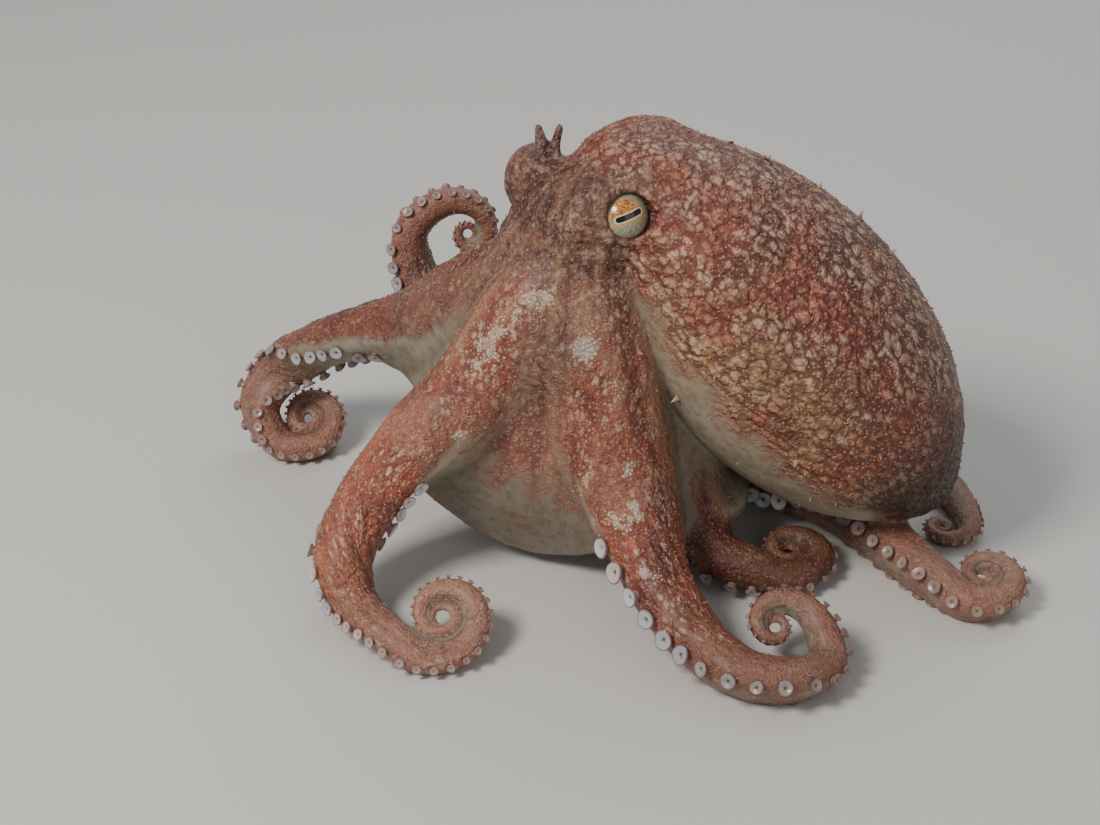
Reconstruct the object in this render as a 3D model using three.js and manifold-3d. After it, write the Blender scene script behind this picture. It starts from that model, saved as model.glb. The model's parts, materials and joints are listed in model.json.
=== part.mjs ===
// Common octopus, life size, settled on the floor with its arms curled about it.
// Millimetres, +Z up. The floor is z = 0 and the arms rest on it with small flats.
import * as THREE from 'three';
import { mergeVertices } from 'three/addons/utils/BufferGeometryUtils.js';
import Module from 'manifold-3d';

const wasm = await Module();
wasm.setup();

// ---------------------------------------------------------------- sizes, mm
const FINE = 0.09;               // detail below this is dropped
const GAP = 0.3;                 // width of the cut between neighbouring parts
const FLOOR = 1.7;               // level at which the undersides are cut flat
const SHIFT = [-20.18, -6.28, -FLOOR];   // puts the origin on the floor under the middle
const UP = [0, 0, 1];

// mantle: an egg about a sloping axis, fuller towards its closed end
const MANTLE = { c: [72.9, 2, 82], a: 84.6, b: 42.7, l: 43.5, egg: 0.12, pitch: 47.7, yaw: -10.2, full: 1.4, drop: -1.2, stoop: 6 };

// head: rounded lumps blended together and reached by rays from one inner point
const HEAD_C = [11, 3, 104];
const HEAD_BLEND = 5;
const HEAD_LUMPS = [
  { c: [12, 6, 113], r: [18, 18, 21] },      // skull
  { c: [13, -5, 117], r: [12, 11, 13] },     // cheek before the left eye
  { c: [2, 15, 118], r: [10, 10, 12] },      // root of the right eye mound
  { c: [9, 2, 94], r: [21, 20, 22] },        // crown of the arms
  { c: [6, -3, 81], r: [24, 23, 21] },
  { c: [-3, 10, 106], r: [11, 11, 13] },     // neck below the right eye mound
];
// round mounds that carry the eyes
const MOUNDS = [{ c: [20, -5.8, 122.8], r: 11.2 }, { c: [-3.9, 19.6, 123.4], r: 9.7 }];
// nape: the hump of the mantle behind the head
const NAPE = [{ c: [31, 22, 128.5], r: 15 }, { c: [21.5, 19, 126], r: 12.5 }];
// two finger-like papillae over the right eye, in two lengths each: ends and radii
const HORNS = [
  { a: [-2, 19, 130.5], b: [-2.9, 19.6, 137.5], ra: 1.8, rb: 2.2 },
  { a: [-2.9, 19.6, 137.5], b: [-3.6, 20, 141.2], ra: 2.2, rb: 1.8 },
  { a: [1.2, 19, 130], b: [1.9, 19.6, 137], ra: 1.7, rb: 1.5 },
  { a: [1.9, 19.6, 137], b: [2.7, 20, 141.4], ra: 1.5, rb: 1.3 },
];
const EYE_R = 8.2;
const EYES = { left: [21.9, -9.4, 124.4], right: [-5.2, 22.4, 123.2] };

// arms: a few places along each arm with the way its suckers face, then a
// spiral. coil: centre, tilt of its plane, start radius, start angle, sweep,
// tightening; half width grows from the tip by `slope` and levels off at W
const ARMS = {
  L1: { W: 14, slope: 0.0685, ctrl: [
    [10, -5, 97, 0.3, 0.2, -1], [-4.4, -8, 90.9, 0.7, 0.1, -0.8], [-25.4, -14, 64.5, 0.5, 0, -1],
    [-43.3, -20, 48.9, 0.3, 0, -1], [-58.6, -27.5, 32.5, -0.1, 0, -1], [-65.4, -40, 20, -0.5, -0.1, -0.9],
    [-62.7, -50, 9.3, -0.7, -0.4, -0.7]],
    coil: { c: [-33.4, -61.4, 12.7], tilt: 35, r0: 16.4, a0: 214, sweep: 780, k: 0.155, f: 0, k2: 0, down: 0.45 } },
  L2: { W: 15, slope: 0.09, ctrl: [
    [16, -6, 95, 0, 0.4, -1], [17, -14, 83, -0.1, 0.6, -0.8], [18.8, -22, 62, -0.3, 0.6, -0.8],
    [22.6, -31, 45.2, -0.5, 0.4, -0.8], [27.2, -42, 31.8, -0.7, 0.1, -0.8], [33, -56, 20.5, -0.9, -0.2, -0.7],
    [43.5, -72.5, 11.5, -0.8, -0.5, -0.7], [58, -87, 8.9, -0.4, -0.9, -0.7], [74, -89.5, 8.9, 0.1, -1, -0.6]],
    coil: { c: [68.8, -70.5, 15.4], tilt: 35, r0: 19.5, a0: 322, sweep: 600, k: 0.18, f: 0.42, k2: 1.2, down: 0.45 } },
  L3: { W: 13, slope: 0.09, ctrl: [
    [18, -2, 94, 0, 0.5, -1], [30, 0, 78, -0.4, 0.3, -1], [38, -1, 54, -0.5, 0.2, -1],
    [43, -12, 29, -0.4, 0.2, -1], [47.8, -21, 18, -0.3, 0, -1],
    [55, -28.5, 12.5, -0.2, 0, -1], [66, -32.5, 10.1, -0.1, -0.1, -1]],
    coil: { c: [78.5, -19, 8.2], tilt: 8, r0: 13.4, a0: 268, sweep: 660, k: 0.2, f: 0, k2: 0, down: 1.2 } },
  L4: { W: 12.5, slope: 0.1, ctrl: [
    [21, 3, 94, -0.3, 0.2, -1], [36, 9, 78, -0.6, 0.1, -1], [48, 16, 53, -0.7, 0, -0.8],
    [58, 16, 29, -0.5, -0.2, -0.9], [74, 18, 13, -0.3, -0.5, -0.9], [92, 9, 11, -0.5, -0.6, -0.6],
    [105, -8, 11, -0.75, -0.45, -0.4], [115, -26, 10.5, -0.8, -0.4, -0.4], [125, -41, 9.5, -0.7, -0.6, -0.4]],
    coil: { c: [139, -36, 10], tilt: 12, r0: 14, a0: 238, sweep: 630, k: 0.21, f: 0, k2: 0, down: 0.5 } },
  R1: { W: 14, slope: 0.0755, ctrl: [
    [6, 4, 97, 0.5, 0, -1], [-19.5, 18, 85.4, 0.4, -0.1, -1], [-40.6, 36, 64.6, 0.2, -0.35, -1],
    [-62.8, 52, 51.5, 0, -0.6, -1], [-82.6, 62, 40.5, -0.3, -0.5, -1], [-98.1, 66, 28.6, -0.6, -1, 0.2],
    [-105, 59.4, 17.8, -0.6, -0.8, -0.3]],
    coil: { c: [-87.9, 61.6, 12.4], tilt: 35, r0: 14.8, a0: 226, sweep: 750, k: 0.175, f: 0, k2: 0, down: 0.4 } },
  R2: { W: 13, slope: 0.0955, ctrl: [
    [6, 8, 95, 0.2, -0.5, -1], [-7, 27, 82, 0.1, -0.4, -1], [-22, 48, 62, -0.2, 0, -1],
    [-37, 65, 54, -0.8, 0.1, -0.8], [-48, 76, 62, -1, 0.1, -0.2]],
    coil: { c: [-29, 80, 77.5], tilt: 76, r0: 21.5, a0: 180, sweep: -630, k: 0.18, f: 0.44, k2: 0.9, down: 0 } },
  R3: { W: 12, slope: 0.083, ctrl: [
    [12, 9, 94, 0, -0.5, -1], [15, 28, 79, 0, -0.4, -1], [15, 50, 51, 0, -0.3, -1],
    [8, 74, 21, 0.2, -0.4, -1], [-6, 93, 8.2, 0.3, 0.1, -1], [-24, 104, 7.2, 0.1, 0.5, -1]],
    coil: { c: [-31, 88, 6.8], tilt: 6, r0: 15, a0: 98, sweep: 720, k: 0.19, f: 0, k2: 0, down: 1 } },
  R4: { W: 12, slope: 0.08, ctrl: [
    [18, 8, 94, -0.2, -0.3, -1], [33, 23, 77, -0.4, -0.3, -1], [51, 40, 49, -0.4, -0.3, -1],
    [72, 52, 19, -0.3, -0.2, -1], [96, 54, 8.1, 0, 0, -1], [121, 44, 7.1, 0.2, 0.1, -1],
    [138, 24, 6.2, 0.4, 0, -1], [142, 6, 5.4, 0.6, -0.3, -1]],
    coil: { c: [133, 0, 5.1], tilt: 6, r0: 9, a0: 350, sweep: -600, k: 0.22, f: 0, k2: 0, down: 0.8 } },
};
const TIP = 0.55;                     // half thickness at an arm's tip
const BLUNT = [5, 4];                 // how much fuller the last few millimetres are
// cross-section of an arm, one entry each 45 degrees from the outer side: how
// far it reaches sideways and towards the suckers, in half widths
const SECTION = [[1, 0.02], [0.74, 0.72], [0, 0.7], [-0.74, 0.72], [-1, 0.02], [-0.74, -0.68], [0, -0.94], [-0.74 * -1, -0.68]];
const PIECES = 4;                     // pieces a tip is made in, each with its own rings
const BEAD = 0.16;                    // how far the sucker rows stand out, bead by bead
// each arm in four lengths: end of each as a share of the arm, and its rings
const LENGTHS = [['base', 0, 0.27, 4], ['middle', 0.27, 0.5, 5], ['outer', 0.5, 0.72, 6], ['tip', 0.72, 1, 4]];

// webs between neighbouring arms: share of each arm they reach along, and where
// the middle of the free edge hangs
const WEB_RISE = [-0.7, -0.1];   // where a web leaves its arms, near the head and at its edge
const WEB_T = 3.0, WEB_TOP = 0.02, WEB_SAG = 2.2, WEB_N = [4, 4];
const WEBS = {
  L1_L2: { ends: [0.32, 0.34], hang: [-11, -15, 8], rise: [-0.9, -0.45], sag: 3.4 },
  L2_L3: { ends: [0.38, 0.4], hang: [43, -31, 25] },
  L3_L4: { ends: [0.42, 0.34], hang: [63, -16, 22] },
  L4_R4: { ends: [0.32, 0.32], hang: [58, 27, 24] },
  R4_R3: { ends: [0.34, 0.36], hang: [34, 52, 22] },
  R3_R2: { ends: [0.36, 0.36], hang: [-3, 56, 34] },
  R2_R1: { ends: [0.4, 0.34], hang: [-24, 44, 46] },
  R1_L1: { ends: [0.42, 0.4], hang: [-33, 10, 36] },
};

// funnel under the neck
const FUNNEL = { a: [22, 21, 101], b: [23, 37, 92], ra: 8, rb: 4.6, bore: 2.8, depth: 12 };

const SKIN = { color: 0xa8573c, roughness: 0.5 };
const PALE = { color: 0xb9a68f, roughness: 0.45 };
const WEBC = { color: 0x9c6650, roughness: 0.5 };
const MANTLE_C = { color: 0xa2583f, roughness: 0.55 };
const EYE_M = { color: 0xc9b27a, roughness: 0.12 };

// ---------------------------------------------------------------- helpers
const rad = THREE.MathUtils.degToRad;
const vec = a => new THREE.Vector3(a[0], a[1], a[2]);
const clamp = (x, a, b) => Math.min(b, Math.max(a, x));

function coilPoints(c, out) {
  const t = rad(c.tilt), e1 = new THREE.Vector3(1, 0, 0), e2 = new THREE.Vector3(0, Math.cos(t), Math.sin(t));
  const n = Math.max(2, Math.round(Math.abs(c.sweep) / 30));
  for (let i = 0; i <= n; i++) {
    const x = rad(c.sweep * i / n), f = rad(c.a0) + x, p = Math.abs(x);
    const r = c.r0 * ((1 - c.f) * Math.exp(-c.k * p) + c.f * Math.exp(-c.k2 * p));
    const d = e1.clone().multiplyScalar(Math.cos(f)).addScaledVector(e2, Math.sin(f));
    out.push({ p: vec(c.c).addScaledVector(d, r), o: d.clone().add(new THREE.Vector3(0, 0, -c.down)).normalize() });
  }
}

// an arm as a table along its length: place, frame and half width
function armTable(A) {
  const K = A.ctrl.map(q => ({ p: vec(q), o: vec(q.slice(3)).normalize() }));
  coilPoints(A.coil, K);
  const curve = new THREE.CatmullRomCurve3(K.map(k => k.p), false, 'centripetal');
  const SUB = 16, n = K.length - 1, P = [], O = [], S = [0];
  for (let i = 0; i <= n * SUB; i++) {
    P.push(curve.getPoint(i / (n * SUB)));
    const j = Math.min(n - 1, Math.floor(i / SUB)), w = i / SUB - j;
    O.push(K[j].o.clone().lerp(K[j + 1].o, w).normalize());
    if (i) S.push(S[i - 1] + P[i].distanceTo(P[i - 1]));
  }
  const L = S[S.length - 1];
  const at = s => {
    s = clamp(s, 0, L);
    let lo = 0, hi = S.length - 1;
    while (hi - lo > 1) { const m = (lo + hi) >> 1; if (S[m] <= s) lo = m; else hi = m; }
    const w = (s - S[lo]) / Math.max(1e-9, S[hi] - S[lo]);
    return { p: P[lo].clone().lerp(P[hi], w), o: O[lo].clone().lerp(O[hi], w).normalize() };
  };
  const width = s => { const m = A.slope * (L - s + BLUNT[0] * (1 - Math.exp((s - L) / BLUNT[1]))); return m / Math.pow(1 + Math.pow(m / A.W, 4), 0.25) + TIP; };
  const frame = s => {
    const q = at(s), T = at(Math.min(L, s + 0.8)).p.sub(at(Math.max(0, s - 0.8)).p).normalize();
    const o = q.o.addScaledVector(T, -q.o.dot(T)).normalize();
    return { p: q.p, t: T, o, b: T.clone().cross(o), w: width(s) };
  };
  return { L, frame, width };
}

// closed tube along an arm from a to b
function tube(T, a, b, rings, grow = 0) {
  const g = new THREE.CylinderGeometry(1, 1, 1, 8, rings, false);
  g.deleteAttribute('normal'); g.deleteAttribute('uv');
  const m = mergeVertices(g, 1e-4), q = m.attributes.position;
  for (let i = 0; i < q.count; i++) {
    const x = q.getX(i), y = q.getY(i), z = q.getZ(i);
    const k = Math.round((y + 0.5) * rings), F = T.frame(k === rings ? b : a + (b - a) * k / rings);
    const v = F.p.clone();
    if (Math.hypot(x, z) > 0.5) {
      const j = (Math.round(Math.atan2(z, x) / (Math.PI / 4)) + 8) % 8;
      let [sx, sy] = SECTION[j];
      if (j === 1 || j === 3) { const d = k % 2 ? 1 + BEAD : 1 - BEAD * 0.4; sx *= d; sy *= d; }
      v.addScaledVector(F.b, sx * (F.w + grow)).addScaledVector(F.o, sy * (F.w + grow));
    }
    q.setXYZ(i, v.x, v.y, Math.max(FLOOR - grow, v.z));
  }
  return m;
}

// the solids of one length of an arm; a tip is made in joined pieces of equal
// turning, each of which gives way to all but the one before it, so that no
// turn of the coil passes through another
function armLength(T, s0, s1, rings, grow = 0, ends = 0) {
  const a = s0 * T.L + (s0 > 0 ? GAP / 2 : 0) - ends, b = s1 * T.L - (s1 < 1 ? GAP / 2 : 0) + ends;
  if (s1 < 1) return [solid(tube(T, a, b, rings, grow))];
  const n = Math.round((b - a) / 0.5), turn = [0];
  for (let i = 1; i <= n; i++) turn.push(turn[i - 1] + 0.01 + T.frame(a + (b - a) * i / n).t.angleTo(T.frame(a + (b - a) * (i - 1) / n).t));
  const cut = [a];
  for (let k = 1; k < PIECES; k++) cut.push(a + (b - a) * turn.findIndex(t => t >= turn[n] * k / PIECES) / n);
  cut.push(b);
  const out = [];
  for (let k = 0; k < PIECES; k++) {
    let s = solid(tube(T, cut[k], cut[k + 1], rings, grow));
    if (!grow) for (let j = 0; j < k - 1; j++) s = s.subtract(solid(tube(T, cut[j], cut[j + 1], rings, GAP)));
    out.push(s);
  }
  return grow ? out : [out.reduce((x, y) => x.add(y))];
}

// egg-shaped mantle
function mantleShape(grow = 0) {
  const M = MANTLE, pi = rad(M.pitch), ya = rad(M.yaw);
  const ax = new THREE.Vector3(Math.cos(pi) * Math.cos(ya), Math.cos(pi) * Math.sin(ya), -Math.sin(pi));
  const lat = vec(UP).cross(ax).normalize(), up = ax.clone().cross(lat);
  const g = new THREE.SphereGeometry(1, 19, 12);
  g.deleteAttribute('normal'); g.deleteAttribute('uv');
  const m = mergeVertices(g, 1e-4), q = m.attributes.position;
  for (let i = 0; i < q.count; i++) {
    const ph = Math.acos(clamp(q.getY(i), -1, 1)), ps = Math.atan2(q.getZ(i), q.getX(i));
    const s = Math.sin(ph), r = Math.pow(s, M.full) * (1 + M.egg * Math.cos(ph));
    const v = vec(M.c).addScaledVector(ax, (M.a + grow) * Math.cos(ph)).addScaledVector(up, M.drop * s * s - M.stoop * Math.pow(Math.max(0, -Math.cos(ph)), 4))
      .addScaledVector(up, (M.b + grow) * r * Math.cos(ps)).addScaledVector(lat, (M.l + grow) * r * Math.sin(ps));
    q.setXYZ(i, v.x, v.y, v.z);
  }
  return m;
}

// blended lumps
function headField(p) {
  let s = 0;
  for (const h of HEAD_LUMPS) {
    const x = (p.x - h.c[0]) / h.r[0], y = (p.y - h.c[1]) / h.r[1], z = (p.z - h.c[2]) / h.r[2];
    const d = (Math.hypot(x, y, z) - 1) * Math.min(...h.r);
    s += Math.exp(-d / HEAD_BLEND * 2);
  }
  return -Math.log(s) * HEAD_BLEND / 2;
}
function headShape(grow = 0) {
  const g = new THREE.SphereGeometry(1, 19, 14);
  g.deleteAttribute('normal'); g.deleteAttribute('uv');
  g.rotateX(Math.PI / 2);
  const m = mergeVertices(g, 1e-4), q = m.attributes.position, c = vec(HEAD_C);
  for (let i = 0; i < q.count; i++) {
    const d = new THREE.Vector3(q.getX(i), q.getY(i), q.getZ(i)).normalize();
    let lo = 5, hi = 70;
    for (let k = 0; k < 30; k++) { const r = (lo + hi) / 2; if (headField(c.clone().addScaledVector(d, r)) < grow) lo = r; else hi = r; }
    q.setXYZ(i, c.x + d.x * lo, c.y + d.y * lo, c.z + d.z * lo);
  }
  return m;
}

// round peg from a to b
function peg(a, b, ra, rb, seg = 10) {
  const A = vec(a), B = vec(b), d = B.clone().sub(A), L = d.length();
  const g = new THREE.CapsuleGeometry(1, L, 2, seg, 1);
  g.deleteAttribute('normal'); g.deleteAttribute('uv');
  const m = mergeVertices(g, 1e-4), q = m.attributes.position;
  const rot = new THREE.Quaternion().setFromUnitVectors(new THREE.Vector3(0, 1, 0), d.clone().normalize());
  for (let i = 0; i < q.count; i++) {
    const y = q.getY(i), t = clamp(y / L + 0.5, 0, 1), r = ra + (rb - ra) * t;
    const over = y > L / 2 ? y - L / 2 : y < -L / 2 ? y + L / 2 : 0;
    const v = new THREE.Vector3(q.getX(i) * r, (t - 0.5) * L + over * r, q.getZ(i) * r).applyQuaternion(rot).add(A).addScaledVector(d, 0.5);
    q.setXYZ(i, v.x, v.y, v.z);
  }
  return m;
}

function ball(c, r, w = 12, h = 8) {
  const g = new THREE.SphereGeometry(r, w, h);
  g.deleteAttribute('normal'); g.deleteAttribute('uv');
  g.translate(c[0], c[1], c[2]);
  return mergeVertices(g, 1e-4);
}

// web between arms A and B
function webShape(A, B, w, grow = 0) {
  const [nu, nv] = WEB_N;
  const g = new THREE.BoxGeometry(1, 1, 1, nu, nv, 1);
  g.deleteAttribute('normal'); g.deleteAttribute('uv');
  const m = mergeVertices(g, 1e-4), q = m.attributes.position;
  const hang = vec(w.hang), rise = w.rise || WEB_RISE;
  const side = (T, e, u) => { const F = T.frame((WEB_TOP + (e - WEB_TOP) * u) * T.L); return F.p.addScaledVector(F.o, F.w * (rise[0] + (rise[1] - rise[0]) * u)); };
  const surf = (u, v) => {
    const a = side(A, w.ends[0], u), b = side(B, w.ends[1], u), mid = a.clone().add(b).multiplyScalar(0.5).lerp(hang, Math.pow(u, w.sag || WEB_SAG));
    const c = mid.multiplyScalar(2).addScaledVector(a, -0.5).addScaledVector(b, -0.5);
    return a.multiplyScalar((1 - v) * (1 - v)).addScaledVector(c, 2 * v * (1 - v)).addScaledVector(b, v * v);
  };
  for (let i = 0; i < q.count; i++) {
    const u = q.getX(i) + 0.5, v = q.getY(i) + 0.5, k = q.getZ(i), e = 1e-3;
    const u0 = clamp(u, e, 1 - e), v0 = clamp(v, e, 1 - e);
    const n = surf(u0 + e, v0).sub(surf(u0 - e, v0)).cross(surf(u0, v0 + e).sub(surf(u0, v0 - e))).normalize();
    const p = surf(u, v).addScaledVector(n, k * (WEB_T + grow * 2));
    q.setXYZ(i, p.x, p.y, Math.max(FLOOR, p.z));
  }
  return m;
}

// ---------------------------------------------------------------- solids
function solid(g) {
  const m = new wasm.Mesh({ numProp: 3, vertProperties: new Float32Array(g.attributes.position.array), triVerts: new Uint32Array(g.index.array) });
  let s = new wasm.Manifold(m);
  if (s.volume() < 0) {
    const t = Uint32Array.from(g.index.array);
    for (let i = 0; i < t.length; i += 3) { const x = t[i]; t[i] = t[i + 1]; t[i + 1] = x; }
    s = new wasm.Manifold(new wasm.Mesh({ numProp: 3, vertProperties: new Float32Array(g.attributes.position.array), triVerts: t }));
  }
  return s;
}
const biggest = s => { const d = s.decompose(); d.sort((a, b) => b.volume() - a.volume()); return d[0]; };

const group = new THREE.Group();
group.name = 'octopus';
function put(name, s, mat, fine = FINE) {
  const m = biggest(s.simplify(fine)).getMesh(), g = new THREE.BufferGeometry();
  const p = new Float32Array(m.numVert * 3);
  for (let i = 0; i < m.numVert; i++) for (let k = 0; k < 3; k++) p[3 * i + k] = m.vertProperties[i * m.numProp + k] + SHIFT[k];
  g.setAttribute('position', new THREE.BufferAttribute(p, 3));
  g.setIndex(new THREE.BufferAttribute(Uint32Array.from(m.triVerts), 1));
  g.computeVertexNormals();
  const mesh = new THREE.Mesh(g, new THREE.MeshStandardMaterial({ color: mat.color, roughness: mat.roughness, metalness: 0 }));
  mesh.name = name;
  group.add(mesh);
}

// head with eye mounds and the two papillae; eyes sit in open sockets
let head = solid(headShape());
for (const h of MOUNDS) head = head.add(solid(ball(h.c, h.r)));
for (const h of HORNS) head = head.add(solid(peg(h.a, h.b, h.ra, h.rb, 8)));
for (const e of Object.values(EYES)) head = head.subtract(solid(ball(e, EYE_R + GAP)));
let headOut = solid(headShape(GAP));
for (const h of MOUNDS) headOut = headOut.add(solid(ball(h.c, h.r + GAP)));
put('head', head, SKIN, FINE / 4.5);
put('eye_left', solid(ball(EYES.left, EYE_R)), EYE_M);
put('eye_right', solid(ball(EYES.right, EYE_R)), EYE_M);

let mantleOut = solid(mantleShape(GAP));
for (const h of NAPE) mantleOut = mantleOut.add(solid(ball(h.c, h.r + GAP)));
const eyesOut = Object.values(EYES).map(e => solid(ball(e, EYE_R + GAP)));
let mantle = solid(mantleShape());
for (const h of NAPE) mantle = mantle.add(solid(ball(h.c, h.r)));
mantle = mantle.subtract(headOut);
for (const e of eyesOut) mantle = mantle.subtract(e);
for (const h of HORNS) mantle = mantle.subtract(solid(peg(h.a, h.b, h.ra + GAP, h.rb + GAP, 8)));
put('mantle', mantle, MANTLE_C);

// funnel
let funnel = solid(peg(FUNNEL.a, FUNNEL.b, FUNNEL.ra, FUNNEL.rb, 14));
{
  const A = vec(FUNNEL.a), B = vec(FUNNEL.b), d = B.clone().sub(A).normalize();
  const a = B.clone().addScaledVector(d, -FUNNEL.depth + FUNNEL.rb), b = B.clone().addScaledVector(d, 12);
  funnel = funnel.subtract(solid(peg(a.toArray(), b.toArray(), FUNNEL.bore, FUNNEL.bore, 12)));
}
for (const o of [headOut, mantleOut]) funnel = funnel.subtract(o);
put('funnel', funnel, PALE);
const funnelOut = solid(peg(FUNNEL.a, FUNNEL.b, FUNNEL.ra + GAP, FUNNEL.rb + GAP, 14));


// arms: each length gives way to the head, the mantle and the arms before it
const tables = {}, taken = [];
for (const [n, A] of Object.entries(ARMS)) tables[n] = armTable(A);
const box = s => s.boundingBox();
const meet = (a, b) => { const p = box(a), q = box(b); return [0, 1, 2].every(k => p.min[k] < q.max[k] && q.min[k] < p.max[k]); };
for (const [n, T] of Object.entries(tables)) {
  const mine = [];
  for (const [part, s0, s1, rings] of LENGTHS) {
    let [s] = armLength(T, s0, s1, rings);
    for (const o of [headOut, mantleOut, funnelOut, ...taken, ...mine]) if (meet(s, o)) s = s.subtract(o);
    put(`arm_${n}_${part}`, s, SKIN);
    mine.push(...armLength(T, s0, s1, rings, GAP, GAP * 0.6));
  }
  taken.push(...mine);
}

// webs give way to everything else
for (const [n, w] of Object.entries(WEBS)) {
  const [a, b] = n.split('_');
  let s = solid(webShape(tables[a], tables[b], w));
  for (const o of [headOut, mantleOut, funnelOut, ...taken]) if (meet(s, o)) s = s.subtract(o);
  s = biggest(s);
  put(`web_${n}`, s, WEBC);
  taken.push(solid(webShape(tables[a], tables[b], w, GAP)));
}

export default group;
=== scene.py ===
import bpy, json, math
import numpy as np
import openvdb as vdb
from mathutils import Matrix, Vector
from mathutils.kdtree import KDTree

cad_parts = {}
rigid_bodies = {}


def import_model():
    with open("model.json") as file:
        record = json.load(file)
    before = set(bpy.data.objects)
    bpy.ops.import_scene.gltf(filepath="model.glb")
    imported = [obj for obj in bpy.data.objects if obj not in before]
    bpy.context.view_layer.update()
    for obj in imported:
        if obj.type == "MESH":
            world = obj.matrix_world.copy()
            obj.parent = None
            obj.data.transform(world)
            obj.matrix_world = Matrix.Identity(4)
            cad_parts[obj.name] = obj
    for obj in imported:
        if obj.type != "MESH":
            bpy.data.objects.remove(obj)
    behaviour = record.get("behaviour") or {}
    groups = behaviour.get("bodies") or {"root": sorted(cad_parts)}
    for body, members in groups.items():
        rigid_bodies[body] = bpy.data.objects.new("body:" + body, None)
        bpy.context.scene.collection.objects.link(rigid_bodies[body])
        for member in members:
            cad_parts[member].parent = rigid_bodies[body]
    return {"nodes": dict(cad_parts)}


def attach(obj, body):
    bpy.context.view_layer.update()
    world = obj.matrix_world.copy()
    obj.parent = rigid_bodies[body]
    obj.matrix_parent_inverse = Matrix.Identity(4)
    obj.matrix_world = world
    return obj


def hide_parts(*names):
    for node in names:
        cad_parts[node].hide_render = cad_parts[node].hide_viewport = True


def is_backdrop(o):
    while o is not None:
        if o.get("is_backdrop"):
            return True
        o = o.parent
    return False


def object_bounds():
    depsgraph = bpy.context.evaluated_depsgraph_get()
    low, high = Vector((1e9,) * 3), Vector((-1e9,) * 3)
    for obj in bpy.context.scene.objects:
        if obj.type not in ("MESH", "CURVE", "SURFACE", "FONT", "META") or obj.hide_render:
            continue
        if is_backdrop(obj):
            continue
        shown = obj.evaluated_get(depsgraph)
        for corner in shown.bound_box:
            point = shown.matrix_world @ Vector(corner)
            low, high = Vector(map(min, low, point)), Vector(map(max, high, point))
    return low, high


# Common octopus, life size. Built in millimetres in the shape's own frame, then
# moved by SHIFT and scaled to metres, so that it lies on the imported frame.
for o in list(bpy.data.objects):
    bpy.data.objects.remove(o)
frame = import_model()
cad_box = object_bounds()

# ------------------------------------------------------------------ sizes, mm
FLOOR = 1.7
SHIFT = np.array([-20.18, -6.28, -FLOOR])
VOX = 0.8
MANTLE = dict(c=(72.9, 2, 82), a=84.6, b=42.7, l=43.5, egg=.12, pitch=47.7, yaw=-10.2, full=1.4, drop=-1.2, stoop=6)
HEAD_C = (11, 3, 104)
HEAD_BLEND = 5
HEAD_LUMPS = [((12, 6, 113), (18, 18, 21)), ((13, -5, 117), (12, 11, 13)), ((2, 15, 118), (10, 10, 12)),
              ((9, 2, 94), (21, 20, 22)), ((6, -3, 81), (24, 23, 21)), ((-3, 10, 106), (11, 11, 13))]
MOUNDS = [((20, -5.8, 122.8), 11.2), ((-3.9, 19.6, 123.4), 9.7)]
NAPE = [((31, 22, 128.5), 15), ((21.5, 19, 126), 12.5)]
HORNS = [((-2, 19, 130.5), (-2.9, 19.6, 137.5), 1.8, 2.2), ((-2.9, 19.6, 137.5), (-3.6, 20, 141.2), 2.2, 1.8),
         ((1.2, 19, 130), (1.9, 19.6, 137), 1.7, 1.5), ((1.9, 19.6, 137), (2.7, 20, 141.4), 1.5, 1.3)]
EYE_R = 8.2
EYES = {"left": (21.9, -9.4, 124.4), "right": (-5.2, 22.4, 123.2)}
OPEN = 6.9
GAZE = {"left": (0.245, -0.886, 0.39), "right": (-0.72, 0.66, 0.2)}
EYE_AXIS = {"left": (0.38, -0.84, 0.38), "right": (-0.72, 0.66, 0.2)}
FUNNEL = dict(a=(22, 21, 101), b=(23, 37, 92), ra=8, rb=4.6, bore=2.8, depth=12)
TIP = 0.55
BLUNT = (5, 4)
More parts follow.
